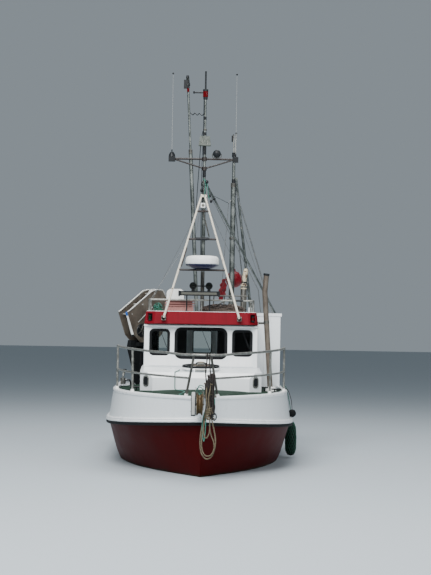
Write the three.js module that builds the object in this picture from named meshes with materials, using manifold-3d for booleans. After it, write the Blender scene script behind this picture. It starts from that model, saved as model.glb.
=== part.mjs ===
// A small inshore fishing boat, afloat: decked hull, wheelhouse forward, masts, net hauler and shelter.
// Millimetres. +X is to port, +Y aft and +Z up. The origin is on the waterline, amidships, on the centreline.
import * as THREE from "three";
import { mergeVertices } from "three/addons/utils/BufferGeometryUtils.js";
import Module from "manifold-3d";

const wasm = await Module();
wasm.setup();

// Driving dimensions
const GAP = 0.3; // between two pieces that touch
const BORE_PLAY = 0.6; // round a shaft or pin in its bore
const LENGTH = 9800;
const STEM_Y = -LENGTH / 2;
const TRANSOM_Y = LENGTH / 2;

const HULL = {
  gunwaleHalf: 1620,
  gunwaleRun: 4200,
  gunwalePower: 2.5,
  gunwaleZ: 1380,
  rubHalf: 1720,
  rubRun: 4600,
  rubPower: 2.6,
  rubMidZ: 780,
  rubBowRise: 190,
  rubSternRise: 40,
  keelZ: -720,
  forefootRise: 120,
  counterRise: 440,
  rakeRun: 3500,
  stations: [0, 60, 160, 330, 600, 1000, 1500, 2100, 2800, 3600, 4600, 5600, 6600, 7600, 8400, 9100, LENGTH],
};
const BULWARK = 70;
const DECK = { edgeZ: 1330, camber: 110, camberHalf: 1600, panel: 40, noseT: 130, endY: 755 };
const WELL = { startY: 755, endY: 4820, wall: 80, topZ: 400, panel: 40 };
const RUB_RAIL = { proud: 50, half: 46 };
const KEEL = {
  half: 60, footZ: -1250, shoeTopZ: -1190, footY: -3000, footTopZ: -930, sternY: 3350, shoeEndY: 4150,
};
const SHAFT = { z: -820, radius: 22.5, startY: 3000, hubY: 3560, endY: 3690 };
const PROPELLER = { blades: 4, pitch: 420, hubRadius: 55, hubHalf: 70 };
const RUDDER = { y: 4050, topZ: -400, footZ: -1175, stockRadius: 25, stockTopZ: 80, pinRadius: 15 };
const ENGINE = { half: 350, fromY: -800, toY: 400, topZ: 500 };

const CABIN = {
  frontY: -2400, frontHalf: 875, half: 1100, chamferY: -2150, topFrontZ: 1700, topZ: 1780, wall: 60,
};
const HOUSE = {
  half: 1040, wall: 50, frontY: -1200, rake: 70, backY: 760, topZ: 2575, floorZ: 800, innerHalf: 950,
};
const ROOF = {
  half: 1070, flatHalf: 880, frontY: -1330, chamferY: -1180, backY: 860, topZ: 2820, wall: 90, skin: 60,
};
const DOOR = { fromX: -265, toX: 335, fromZ: 900, toZ: 2550, clearance: 5, hingeX: -267, hingeY: 819.5 };
const GLASS = 10;

const HATCH = { y: -1850, openingRadius: 280, lidRadius: 360, coaming: 30, hingeY: -378, hingeZ: 45 };
const HOLD = { half: 500, fromY: 2000, toY: 3000, floorZ: -300, coaming: 60, rimZ: 620, lid: 45 };

const RAIL = {
  tube: 19, bowZ: 2075, aftZ: 2165, midBowZ: 1685, midAftZ: 1740, lean: 90, endT: 3080,
  legT: 330, legHead: [140, -4790], postT: 1860,
};
const MAST = { x: 15, y: -500, radius: 37.5, topZ: 7400 };
const SIGNAL_MAST = { foot: [-80, 550], head: [-335, 550], topZ: 7450 };
const DERRICK = { footX: 612, headX: 624, y: 1300, radius: 60, shoulderZ: 5400, topZ: 6250 };
const BOOM = { hinge: [1034, 1900, 2905], head: [686, 1600, 5550], radius: 32 };
const STACK = { x: 860, y: 1150, radius: 62.5, topZ: 3350 };
const SHELTER = {
  fromX: 380, toX: 1620, fromY: 866, toY: 3400, underZ: 2760, topZ: 2820, frontY: 880, wall: 50,
  posts: [[420, 930], [420, 3340], [1570, 3340]],
};
const SHELTER_WALL_X = 1545;
const BUOY = { radius: 170, z: 3500, offset: 55, reach: 221 }; // reach: from the derrick mast's line
const HAULER = {
  x: -1543, y: 850, angle: 47, plate: 12, halfGap: 120, postU: 500, sheaveU: 620, sheaveZ: 2440,
};
const BOW = { sheaveX: -40, sheaveY: -5090, sheaveZ: 1270, sheaveRadius: 185, sheaveHalf: 53, cheek: 8 };
const BITT = { x: 120, y: -4690, radius: 34, topZ: 1680, pinZ: 1600, pinHalf: 90 };
const VENT = { y: -1400, radius: 50, footX: 1300, knee: [1171, 3205], top: [1196, 3520] };

// Finishes
const finish = (color, roughness, metalness = 0) =>
  new THREE.MeshStandardMaterial({ color, roughness, metalness });
const FINISH = {
  hullRed: finish(0x7a1016, 0.35),
  white: finish(0xe4e8ea, 0.35),
  deckGreen: finish(0x5f7f70, 0.85),
  roofRed: finish(0xa3182a, 0.4),
  aluminium: finish(0xa3a6a6, 0.45, 0.9),
  cream: finish(0xd9d3c4, 0.4),
  bronze: finish(0x9a7436, 0.35, 0.9),
  iron: finish(0x4a4642, 0.6, 0.6),
  rust: finish(0x5a3424, 0.8, 0.3),
  glass: finish(0x2a3436, 0.08),
  wood: finish(0x8a6540, 0.55),
  vinyl: finish(0x23262a, 0.6),
  radomeWhite: finish(0xf2f3f2, 0.3),
  boxPink: finish(0xc98a86, 0.5),
  buoyRed: finish(0xb0142b, 0.4),
  net: finish(0x1f5a45, 0.9),
  rope: finish(0xb9ab93, 0.95),
  greenRope: finish(0x4f9a88, 0.95),
  black: finish(0x17181a, 0.6),
};

// Solids
/** A closed geometry as a solid that can be joined and cut, with its faces turned outwards. */
function solid(geometry) {
  const bare = new THREE.BufferGeometry();
  const flat = geometry.index ? geometry.toNonIndexed() : geometry;
  bare.setAttribute("position", flat.getAttribute("position"));
  const merged = mergeVertices(bare, 1e-4);
  const corners = merged.index.array;
  const kept = [];
  for (let i = 0; i < corners.length; i += 3) {
    const [a, b, c] = [corners[i], corners[i + 1], corners[i + 2]];
    if (a !== b && b !== c && c !== a) kept.push(a, b, c);
  }
  const vertProperties = merged.attributes.position.array;
  const build = (order) => {
    const triVerts = new Uint32Array(order);
    return new wasm.Manifold(new wasm.Mesh({ numProp: 3, vertProperties, triVerts }));
  };
  const made = build(kept);
  if (made.volume() >= 0) return made;
  const reversed = [];
  for (let i = 0; i < kept.length; i += 3) reversed.push(kept[i], kept[i + 2], kept[i + 1]);
  return build(reversed);
}

const asSolid = (shape) => (shape.isBufferGeometry ? solid(shape) : shape);
const join = (...shapes) => shapes.map(asSolid).reduce((whole, next) => whole.add(next));
const cut = (shape, ...tools) =>
  tools.map(asSolid).reduce((rest, tool) => rest.subtract(tool), asSolid(shape));
const common = (first, second) => asSolid(first).intersect(asSolid(second));

/** A named mesh of one solid, at a place in its group. */
function piece(name, shape, material, at = [0, 0, 0]) {
  const mesh = asSolid(shape).getMesh();
  const geometry = new THREE.BufferGeometry();
  geometry.setAttribute("position", new THREE.BufferAttribute(new Float32Array(mesh.vertProperties), 3));
  geometry.setIndex(new THREE.BufferAttribute(new Uint32Array(mesh.triVerts), 1));
  geometry.computeVertexNormals();
  const made = new THREE.Mesh(geometry, material);
  made.name = name;
  made.position.set(...at);
  return made;
}

/** A group of pieces at a place. */
function group(at, ...pieces) {
  const made = new THREE.Group();
  made.position.set(...at);
  made.add(...pieces);
  return made;
}

// Shapes
/** A box by its lowest and highest corners. */
function block(low, high) {
  const size = high.map((value, i) => value - low[i]);
  const middle = high.map((value, i) => (value + low[i]) / 2);
  return new THREE.BoxGeometry(...size).translate(...middle);
}

/** A round bar between two points, with its own radius at each end. */
function bar(from, to, radius, endRadius = radius, sides = 12) {
  const start = new THREE.Vector3(...from);
  const along = new THREE.Vector3(...to).sub(start);
  const made = new THREE.CylinderGeometry(endRadius, radius, along.length(), sides);
  const up = new THREE.Vector3(0, 1, 0);
  const turn = new THREE.Quaternion().setFromUnitVectors(up, along.clone().normalize());
  made.applyQuaternion(turn);
  return made.translate(...start.addScaledVector(along, 0.5).toArray());
}

/** A tube whose centre line runs smoothly through the points. */
function tube(points, radius, sides, steps) {
  const section = new THREE.Shape();
  for (let i = 0; i < sides; i += 1) {
    const turn = (i / sides) * 2 * Math.PI;
    const corner = [radius * Math.cos(turn), radius * Math.sin(turn)];
    if (i) section.lineTo(...corner);
    else section.moveTo(...corner);
  }
  const path = new THREE.CatmullRomCurve3(points.map((point) => new THREE.Vector3(...point)));
  return new THREE.ExtrudeGeometry(section, { steps, extrudePath: path, bevelEnabled: false });
}

const AXES = {
  x: [new THREE.Vector3(0, 1, 0), new THREE.Vector3(0, 0, 1), new THREE.Vector3(1, 0, 0)],
  y: [new THREE.Vector3(1, 0, 0), new THREE.Vector3(0, 0, 1), new THREE.Vector3(0, 1, 0)],
  z: [new THREE.Vector3(1, 0, 0), new THREE.Vector3(0, 1, 0), new THREE.Vector3(0, 0, 1)],
};

/** An outline drawn across an axis and drawn out along it: (y, z) for x, (x, z) for y and (x, y) for z. */
function prism(axis, outline, from, to, curveSegments = 3) {
  const drawn = outline instanceof THREE.Shape;
  const shape = drawn ? outline : new THREE.Shape(outline.map(([a, b]) => new THREE.Vector2(a, b)));
  const made = new THREE.ExtrudeGeometry(shape, { depth: to - from, bevelEnabled: false, curveSegments });
  made.translate(0, 0, from);
  return made.applyMatrix4(new THREE.Matrix4().makeBasis(...AXES[axis]));
}

/** A rectangle with round corners. */
function roundedRect([a0, b0], [a1, b1], radius) {
  const made = new THREE.Shape();
  made.absarc(a1 - radius, b0 + radius, radius, -Math.PI / 2, 0);
  made.absarc(a1 - radius, b1 - radius, radius, 0, Math.PI / 2);
  made.absarc(a0 + radius, b1 - radius, radius, Math.PI / 2, Math.PI);
  made.absarc(a0 + radius, b0 + radius, radius, Math.PI, 1.5 * Math.PI);
  return made;
}

/** A body turned round the z axis, from a profile of (radius, z) that starts and ends on the axis. */
function turned(profile, sides = 24) {
  const points = profile.map(([radius, z]) => new THREE.Vector2(radius, z));
  return new THREE.LatheGeometry(points, sides).rotateX(Math.PI / 2);
}

/** A skin over rings of points, closed round each ring and capped at its ends, across from side to side. */
function loft(rings, capStart = true) {
  const places = [];
  const add = (...corners) => corners.forEach((corner) => places.push(...corner));
  const cap = (ring) => {
    const last = ring.length - 1;
    for (let i = 0; i < last - 1 - i; i += 1) {
      if (i + 1 < last - 1 - i) add(ring[i], ring[i + 1], ring[last - 1 - i]);
      add(ring[i], ring[last - 1 - i], ring[last - i]);
    }
  };
  rings.slice(1).forEach((ring, k) => {
    const before = rings[k];
    ring.forEach((point, i) => {
      const next = (i + 1) % ring.length;
      add(before[i], before[next], ring[next]);
      add(before[i], ring[next], point);
    });
  });
  if (capStart) cap([...rings[0]].reverse());
  cap(rings[rings.length - 1]);
  return new THREE.BufferGeometry().setAttribute("position", new THREE.Float32BufferAttribute(places, 3));
}

const flipX = (points) => points.map(([x, y, z]) => [-x, y, z]);

// Lines of the hull, by the distance t aft of the stem head
const { lerp } = THREE.MathUtils;
const ease = (share) => THREE.MathUtils.smoothstep(share, 0, 1);
const fullness = (t, run, power) => 1 - (1 - Math.min(t, run) / run) ** power;

const gunwaleHalf = (t) =>
  HULL.gunwaleHalf * fullness(t, HULL.gunwaleRun, HULL.gunwalePower) -
  140 * (Math.max(0, t - 8200) / 1600) ** 1.5;
const gunwaleZ = (t) => HULL.gunwaleZ - 110 * ease((t - 8300) / 1500);
const rubHalf = (t) =>
  HULL.rubHalf * fullness(t, HULL.rubRun, HULL.rubPower) - 170 * (Math.max(0, t - 6500) / 3300) ** 2;
const rubZ = (t) =>
  HULL.rubMidZ +
  HULL.rubBowRise * Math.max(0, 1 - t / 5000) ** 2 +
  HULL.rubSternRise * (Math.max(0, t - 5000) / 4800) ** 2;
const keelZ = (t) =>
  HULL.keelZ +
  HULL.forefootRise * Math.max(0, 1 - t / 1000) ** 2 +
  HULL.counterRise * ease((t - 6000) / 3800);

/** How far the stem lies aft of its head at a height. */
function rake(z) {
  const drop = HULL.gunwaleZ - z;
  return 0.36 * drop + 0.00009 * drop ** 2;
}

const placeY = (t, z) => STEM_Y + t + rake(z) * Math.max(0, 1 - t / HULL.rakeRun) ** 2;

/** The section below the rub rail, from starboard under the keel to port. */
function bottomSection(t) {
  const half = rubHalf(t);
  const forward = Math.min(t / 4500, 1);
  const aft = ease((t - 6000) / 3800);
  const curve = new THREE.CubicBezierCurve(
    new THREE.Vector2(0, keelZ(t)),
    new THREE.Vector2(half * lerp(0.15, 0.73, forward), keelZ(t) + lerp(100, 50, aft)),
    new THREE.Vector2(half * lerp(0.4, 0.885, forward), lerp(150, -250, forward) + 220 * aft),
    new THREE.Vector2(half, rubZ(t)),
  );
  const port = curve.getPoints(8).map(({ x, y: z }) => [x, placeY(t, z), z]);
  return [...flipX(port.slice(1)).reverse(), ...port];
}

/** The section of the topsides above the rub rail. */
function topSection(t) {
  const low = [rubHalf(t), placeY(t, rubZ(t)), rubZ(t) + GAP];
  const high = [gunwaleHalf(t), placeY(t, gunwaleZ(t)), gunwaleZ(t)];
  return [...flipX([low, high]), high, low];
}

/** Half the breadth of the deck inside the bulwark. */
function deckHalf(t) {
  const slope = (gunwaleHalf(t + 1) - gunwaleHalf(t - 1)) / 2;
  return gunwaleHalf(t) - BULWARK * Math.hypot(1, slope);
}

const deckZ = (x, t) => DECK.edgeZ + (DECK.camber * (deckHalf(t) ** 2 - x ** 2)) / DECK.camberHalf ** 2;

/** A band of the foredeck's outline between two heights, each given by x and t. */
function deckBand(inset, lowZ, highZ) {
  const end = DECK.endY - STEM_Y - inset;
  const between = HULL.stations.filter((t) => t > DECK.noseT && t < end);
  const shares = [-1, -0.75, -0.5, -0.25, 0, 0.25, 0.5, 0.75, 1];
  const rings = [DECK.noseT + inset, ...between, end].map((t) => {
    const across = shares.map((share) => share * (deckHalf(t) - inset));
    const high = across.map((x) => [x, STEM_Y + t, highZ(x, t)]);
    const low = across.map((x) => [x, STEM_Y + t, lowZ(x, t)]);
    return [...high, ...low.reverse()];
  });
  return loft(rings);
}

/** The outline of the working deck between two heights. */
function wellBand(inset, lowZ, highZ) {
  const [start, end] = [WELL.startY - STEM_Y + inset, WELL.endY - STEM_Y - inset];
  const between = HULL.stations.filter((t) => t > start && t < end);
  const rings = [start, ...between, end].map((t) => {
    const half = gunwaleHalf(t) - WELL.wall - inset;
    const y = STEM_Y + t;
    return [[-half, y, lowZ], [half, y, lowZ], [half, y, highZ], [-half, y, highZ]];
  });
  return loft(rings);
}

const ABOVE = 2000; // a height over the deck, for cutters that open upwards

/** The spaces below deck: forecabin, wheelhouse, engine room, fish hold and the doorway. */
function belowDeck() {
  const house = HOUSE.innerHalf;
  return join(
    block([-550, -2300, 100], [550, -1130, ABOVE]),
    block([-house, -1150, HOUSE.floorZ - WELL.panel], [house, 720, ABOVE]),
    block([-450, -900, -350], [450, 500, ABOVE]),
    block([-HOLD.half, HOLD.fromY, HOLD.floorZ], [HOLD.half, HOLD.toY, ABOVE]),
    block([DOOR.fromX, 700, DOOR.fromZ], [DOOR.toX, 800, ABOVE]),
  );
}

// Hull
/** The whole side of the boat in one section, from the gunwale under the keel to the other gunwale. */
function sideSection(t) {
  const high = [gunwaleHalf(t), placeY(t, gunwaleZ(t)), gunwaleZ(t)];
  return [...flipX([high]), ...bottomSection(t), high];
}

/** All that lies aft of the foredeck, over a height. */
const aftOfDeck = (lowZ) => block([-2000, WELL.startY, lowZ], [2000, TRANSOM_Y + 50, ABOVE]);

function hullBody() {
  const whole = loft(HULL.stations.map(bottomSection), false);
  const { y, stockTopZ, stockRadius } = RUDDER;
  const stockBore = bar([0, y, -600], [0, y, stockTopZ + 10], stockRadius + BORE_PLAY, undefined, 16);
  return cut(whole, belowDeck(), aftOfDeck(WELL.topZ - WELL.panel), stockBore);
}

function topsidesBody() {
  const whole = loft(HULL.stations.map(topSection), false);
  const recess = deckBand(0, (x, t) => deckZ(x, t) - DECK.panel - GAP, () => ABOVE);
  return cut(whole, recess, belowDeck(), aftOfDeck(0));
}

/** The bulwarks and the stern wall that stand round the working deck. */
function wellWalls() {
  const whole = cut(loft(HULL.stations.map(sideSection), false), wellBand(0, 0, ABOVE));
  const [startY, footZ] = [WELL.startY + GAP, WELL.topZ - WELL.panel + GAP];
  return {
    port: common(whole, block([GAP, startY, footZ], [2000, WELL.endY, ABOVE])),
    starboard: common(whole, block([-2000, startY, footZ], [-GAP, WELL.endY, ABOVE])),
    stern: common(whole, block([-2000, WELL.endY + GAP, footZ], [2000, TRANSOM_Y + 50, ABOVE])),
  };
}

function foredeckPanel() {
  return cut(deckBand(GAP, (x, t) => deckZ(x, t) - DECK.panel, deckZ), belowDeck());
}

function workingDeckPanel() {
  const panel = wellBand(GAP, WELL.topZ - WELL.panel + GAP, WELL.topZ);
  return cut(panel, block([-HOLD.half, HOLD.fromY, 0], [HOLD.half, HOLD.toY, ABOVE]));
}

/** The moulding over the joint of hull and topsides, on one side: 1 is port. */
function rubRail(side) {
  const lead = -70;
  const stations = [lead, ...HULL.stations];
  const at = (t) => {
    const inside = Math.max(t, 0);
    const beyond = t - inside;
    const slopeX = rubHalf(inside + 1) - rubHalf(inside);
    const z = rubZ(inside);
    const slopeY = placeY(inside + 1, z) - placeY(inside, z);
    return {
      point: [rubHalf(inside) + beyond * slopeX, placeY(inside, z) + beyond * slopeY, z],
      out: new THREE.Vector2(slopeY, -slopeX).normalize(),
    };
  };
  const { half, proud } = RUB_RAIL;
  const edge = proud * 0.75;
  const profile = [
    [0, -half], [edge, -half], [proud, -half * 0.4], [proud, half * 0.4], [edge, half], [0, half],
  ];
  const rings = stations.map((t) => {
    const { point, out } = at(t);
    return profile.map(([away, rise]) => [point[0] + out.x * away, point[1] + out.y * away, point[2] + rise]);
  });
  const centre = block([-200, STEM_Y - 200, 0], [GAP / 2, TRANSOM_Y + 50, ABOVE]);
  const outward = [GAP, -GAP, 0];
  const inner = [bottomSection, topSection].map((section) =>
    loft(HULL.stations.map(section), false).translate(...outward),
  );
  const body = cut(loft(rings), centre, ...inner);
  return side > 0 ? body : solid(mirrored(body));
}

/** The mirror image of a solid across the centreline. */
function mirrored(body) {
  const mesh = body.getMesh();
  const places = new Float32Array(mesh.vertProperties).map((value, i) => (i % 3 ? value : -value));
  const made = new THREE.BufferGeometry().setAttribute("position", new THREE.BufferAttribute(places, 3));
  return made.setIndex(new THREE.BufferAttribute(new Uint32Array(mesh.triVerts), 1));
}

function keelBody() {
  const outline = [
    [-3860, -600],
    [KEEL.footY, KEEL.footTopZ],
    [KEEL.sternY, KEEL.footZ],
    [KEEL.shoeEndY, KEEL.footZ],
    [KEEL.shoeEndY, KEEL.shoeTopZ],
    [KEEL.sternY, KEEL.shoeTopZ],
    [KEEL.sternY, -300],
    [-3860, -300],
  ];
  const plate = prism("x", outline, -KEEL.half, KEEL.half);
  const shell = loft(HULL.stations.map(bottomSection), false).translate(0, 0, -GAP);
  const shaftFrom = [0, SHAFT.startY, SHAFT.z];
  const tubeBore = bar(shaftFrom, [0, KEEL.sternY + 50, SHAFT.z], SHAFT.radius + BORE_PLAY, undefined, 16);
  const pintleRadius = RUDDER.pinRadius + BORE_PLAY;
  const pintleHole = bar([0, RUDDER.y, -1300], [0, RUDDER.y, -1100], pintleRadius, undefined, 16);
  return cut(plate, shell, tubeBore, pintleHole);
}

function shaftBody() {
  const shaft = bar([0, SHAFT.startY + GAP, 0], [0, SHAFT.endY - 20, 0], SHAFT.radius, undefined, 16);
  const nutStart = SHAFT.hubY + PROPELLER.hubHalf + GAP;
  return join(shaft, bar([0, nutStart, 0], [0, SHAFT.endY, 0], 38, 16, 16));
}

/** One blade, standing up from the hub: its sections are twisted to the pitch. */
function blade() {
  // radius, chord, thickness
  const sections = [[40, 110, 20], [130, 190, 16], [230, 220, 12], [300, 170, 9], [330, 60, 6]];
  const rings = sections.map(([radius, chord, thick]) => {
    const twist = Math.atan(PROPELLER.pitch / (2 * Math.PI * radius));
    const section = [[-0.5, 0], [-0.25, -0.5], [0.25, -0.5], [0.5, 0], [0.25, 0.5], [-0.25, 0.5]];
    return section.map(([u, v]) => {
      const [along, across] = [u * chord, v * thick];
      const [cos, sin] = [Math.cos(twist), Math.sin(twist)];
      return [along * cos - across * sin, along * sin + across * cos, radius];
    });
  });
  return loft(rings);
}

function propellerBody() {
  const { hubRadius, hubHalf, blades } = PROPELLER;
  const hub = bar([0, -hubHalf, 0], [0, hubHalf, 0], hubRadius, 44, 24);
  const all = Array.from({ length: blades }, (_, i) => blade().rotateY((i / blades) * 2 * Math.PI));
  return cut(join(hub, ...all), bar([0, -200, 0], [0, 200, 0], SHAFT.radius + BORE_PLAY, undefined, 16));
}

function rudderBody() {
  const foil = [[0, -100], [30, 20], [18, 250], [3, 400], [-3, 400], [-18, 250], [-30, 20]];
  const plate = prism("z", foil, RUDDER.footZ, RUDDER.topZ);
  const stock = bar([0, 0, RUDDER.topZ - 50], [0, 0, RUDDER.stockTopZ], RUDDER.stockRadius, undefined, 16);
  const pintle = bar([0, 0, KEEL.footZ + 5], [0, 0, RUDDER.footZ + 20], RUDDER.pinRadius, undefined, 16);
  return join(plate, stock, pintle);
}

function hullGroup() {
  const walls = wellWalls();
  return group(
    [0, 0, 0],
    piece("hull", hullBody(), FINISH.hullRed),
    piece("topsides", topsidesBody(), FINISH.white),
    piece("bulwark_port", walls.port, FINISH.white),
    piece("bulwark_starboard", walls.starboard, FINISH.white),
    piece("transom_wall", walls.stern, FINISH.white),
    piece("rub_rail_port", rubRail(1), FINISH.white),
    piece("rub_rail_starboard", rubRail(-1), FINISH.white),
    piece("foredeck", foredeckPanel(), FINISH.deckGreen),
    piece("working_deck", workingDeckPanel(), FINISH.deckGreen),
    piece("keel", keelBody(), FINISH.hullRed),
    group(
      [0, 0, SHAFT.z],
      piece("propeller_shaft", shaftBody(), FINISH.bronze),
      piece("propeller", propellerBody(), FINISH.bronze, [0, SHAFT.hubY, 0]),
    ),
    piece("rudder", rudderBody(), FINISH.hullRed, [0, RUDDER.y, 0]),
    piece("engine", engineBlock(), FINISH.iron),
  );
}

function engineBlock() {
  return block([-ENGINE.half, ENGINE.fromY, -350 + GAP], [ENGINE.half, ENGINE.toY, ENGINE.topZ]);
}

// Trunk cabin and its hatch
const cabinSlope = Math.atan((CABIN.topZ - CABIN.topFrontZ) / (HOUSE.frontY - CABIN.frontY));
const cabinTopZ = (y) => CABIN.topFrontZ + (y - CABIN.frontY) * Math.tan(cabinSlope);

/** The frame of the hatch: on the sloping top of the trunk cabin. */
function hatchFrame() {
  const made = new THREE.Object3D();
  made.position.set(0, HATCH.y, cabinTopZ(HATCH.y));
  made.rotation.x = cabinSlope;
  made.updateMatrix();
  return made.matrix;
}

/** The outline of the trunk cabin seen from above, drawn in by an inset. */
function cabinPlan(inset) {
  const [front, side] = [CABIN.frontHalf - 0.6 * inset, CABIN.half - inset];
  const [frontY, chamferY] = [CABIN.frontY + inset, CABIN.chamferY + 0.4 * inset];
  const endY = DECK.endY - 5;
  return [
    [-front, frontY], [front, frontY], [side, chamferY], [side, endY], [-side, endY], [-side, chamferY],
  ];
}

function trunkCabinBody() {
  const whole = prism("z", cabinPlan(0), 1200, 1900);
  const over = prism(
    "x",
    [[-2700, cabinTopZ(-2700)], [HOUSE.frontY, CABIN.topZ], [900, CABIN.topZ], [900, ABOVE], [-2700, ABOVE]],
    -1300,
    1300,
  );
  const under = deckBand(0, () => 1000, (x, t) => deckZ(x, t) + GAP);
  const underTop = prism(
    "x",
    [
      [-2600, 1000],
      [-2600, cabinTopZ(-2600) - CABIN.wall],
      [-1141, cabinTopZ(-1141) - CABIN.wall],
      [-1141, 1000],
    ],
    -1300,
    1300,
  );
  const forward = common(prism("z", cabinPlan(CABIN.wall), 1000, ABOVE), underTop);
  const house = block([-970, -1142, 1000], [970, 690, ABOVE]);
  const doorway = block([DOOR.fromX, 600, DOOR.fromZ], [DOOR.toX, 800, ABOVE]);
  const frame = hatchFrame();
  const radius = HATCH.openingRadius;
  const rim = bar([0, 0, -20], [0, 0, HATCH.coaming], radius + 40, undefined, 24).applyMatrix4(frame);
  const opening = bar([0, 0, -150], [0, 0, 200], radius, undefined, 24).applyMatrix4(frame);
  const lugs = [-1, 1].map((side) => {
    const inner = side * 110 + side * 0.6;
    const outer = inner + side * 20;
    const [low, high] = [Math.min(inner, outer), Math.max(inner, outer)];
    const knuckle = block([low, HATCH.hingeY - 16, -10], [high, HATCH.hingeY + 14, HATCH.hingeZ + 14]);
    return knuckle.applyMatrix4(frame);
  });
  return cut(join(cut(whole, over, under, forward, house, doorway), rim, ...lugs), opening);
}

function foreHatchLid() {
  const { lidRadius: radius, coaming, hingeY, hingeZ } = HATCH;
  const seat = coaming + GAP;
  // radius, height over the seat
  const dome = [[0, 0], [radius, 0], [radius, 28], [radius - 60, 58], [150, 76], [0, 80]];
  const profile = dome.map(([out, rise]) => [out, seat + rise]);
  const knuckle = bar([-110, hingeY, hingeZ], [110, hingeY, hingeZ], 12);
  const tab = block([-90, hingeY, hingeZ - 8], [90, hingeY + 60, hingeZ + 8]);
  return join(turned(profile, 24), knuckle, tab);
}

function cabinGroup() {
  const lid = piece("fore_hatch", foreHatchLid(), FINISH.white);
  const seat = group([0, HATCH.y, cabinTopZ(HATCH.y)], lid);
  seat.rotation.x = cabinSlope;
  return group([0, 0, 0], piece("trunk_cabin", trunkCabinBody(), FINISH.white), seat);
}

// Wheelhouse
// name, wall, low and high corners across the wall, corner radius
const WINDOWS = [
  { name: "window_front_centre", wall: "front", low: [-470, 1955], high: [470, 2490], radius: 105 },
  { name: "window_front_port", wall: "front", low: [605, 2010], high: [945, 2460], radius: 60 },
  { name: "window_front_starboard", wall: "front", low: [-945, 2010], high: [-605, 2460], radius: 60 },
  { name: "window_port", wall: "port", low: [-900, 1985], high: [-60, 2470], radius: 80 },
  { name: "window_starboard", wall: "starboard", low: [-900, 1985], high: [-60, 2470], radius: 80 },
  { name: "window_back", wall: "back", low: [-840, 2000], high: [-500, 2460], radius: 45 },
  { name: "window_door", wall: "door", low: [-150, 2000], high: [235, 2460], radius: 45 },
];

/** A slab that leans with the front wall, between two distances behind its face. */
function leaningSlab(near, far, half, lowZ, highZ) {
  const faceY = (z) => HOUSE.frontY + ((z - CABIN.topZ) / (HOUSE.topZ - CABIN.topZ)) * HOUSE.rake;
  const outline = [
    [faceY(lowZ) + near, lowZ],
    [faceY(lowZ) + far, lowZ],
    [faceY(highZ) + far, highZ],
    [faceY(highZ) + near, highZ],
  ];
  return prism("x", outline, -half, half);
}

/** The hole of a window, or with an inset its pane's outline, through its wall. */
function windowHole({ wall, low, high, radius }, inset = 0) {
  const outline = roundedRect([low[0] + inset, low[1] + inset], [high[0] - inset, high[1] - inset], radius);
  if (wall === "front") return prism("y", outline, -1400, -900);
  if (wall === "door" || wall === "back") return prism("y", outline, 700, 900);
  return wall === "port" ? prism("x", outline, 900, 1100) : prism("x", outline, -1100, -900);
}

const holesIn = (wall) =>
  WINDOWS.filter((opening) => opening.wall === wall).map((opening) => windowHole(opening));

/** The slab of glass in the middle of a wall, before it is cut to its outline. */
function glassSlab(wall) {
  const [near, far] = [(HOUSE.wall - GLASS) / 2, (HOUSE.wall + GLASS) / 2];
  if (wall === "front") return leaningSlab(near, far, 1000, 1800, 2560);
  if (wall === "door" || wall === "back") {
    return block([-900, HOUSE.backY + near, 1700], [400, HOUSE.backY + far, 2500]);
  }
  const outer = HOUSE.half;
  if (wall === "port") return block([outer - far, -1000, 1800], [outer - near, 0, 2560]);
  return block([near - outer, -1000, 1800], [far - outer, 0, 2560]);
}

function pane(opening) {
  return piece(opening.name, common(windowHole(opening, GAP), glassSlab(opening.wall)), FINISH.glass);
}

/** A side wall of the wheelhouse: 1 is port. */
function sideWall(side) {
  const [lowZ, highZ] = [CABIN.topZ + GAP, HOUSE.topZ - GAP];
  const frontY = HOUSE.frontY + HOUSE.wall + GAP;
  const backY = HOUSE.backY - GAP;
  const outline = [[frontY, lowZ], [backY, lowZ], [backY, highZ], [frontY + HOUSE.rake, highZ]];
  const [inner, outer] = [HOUSE.half - HOUSE.wall, HOUSE.half];
  const wall = side > 0 ? prism("x", outline, inner, outer) : prism("x", outline, -outer, -inner);
  return cut(wall, ...holesIn(side > 0 ? "port" : "starboard"));
}

function backWall() {
  const wall = block(
    [-HOUSE.half, HOUSE.backY, WELL.topZ + GAP],
    [HOUSE.half, HOUSE.backY + HOUSE.wall, HOUSE.topZ - GAP],
  );
  return cut(wall, block([DOOR.fromX, 700, DOOR.fromZ], [DOOR.toX, 900, DOOR.toZ]), ...holesIn("back"));
}

function doorLeaf() {
  const { fromX, toX, fromZ, toZ, clearance, hingeX, hingeY } = DOOR;
  const [near, far] = [HOUSE.backY + 5, HOUSE.backY + HOUSE.wall];
  const leaf = block([fromX + clearance, near, fromZ + clearance], [toX - clearance, far, toZ - clearance]);
  const hinges = [1150, 2250].map((z) => {
    const knuckle = bar([hingeX, hingeY, z - 60], [hingeX, hingeY, z + 60], 9);
    const strap = block([hingeX, far + 0.6, z - 50], [hingeX + 70, far + 6, z + 50]);
    const root = block([hingeX + 12, far - 2, z - 50], [hingeX + 70, far + 3, z + 50]);
    return join(knuckle, strap, root);
  });
  const handle = block([toX - 70, far - 2, 1480], [toX - 45, far + 35, 1620]);
  const shiftBack = [-hingeX, -hingeY, 0];
  const whole = cut(join(leaf, ...hinges, handle), ...holesIn("door"));
  return piece("wheelhouse_door", whole.translate(shiftBack), FINISH.white);
}

/** A square box in the roof's chamfered corner, open to the outside, for a side light: 1 is port. */
function sideLightRecess(side) {
  const outline = [[958, -1332], [1044, -1264], [970, -1170], [884, -1238]].map(([x, y]) => [side * x, y]);
  return prism("z", outline, 2630, 2765);
}

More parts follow.
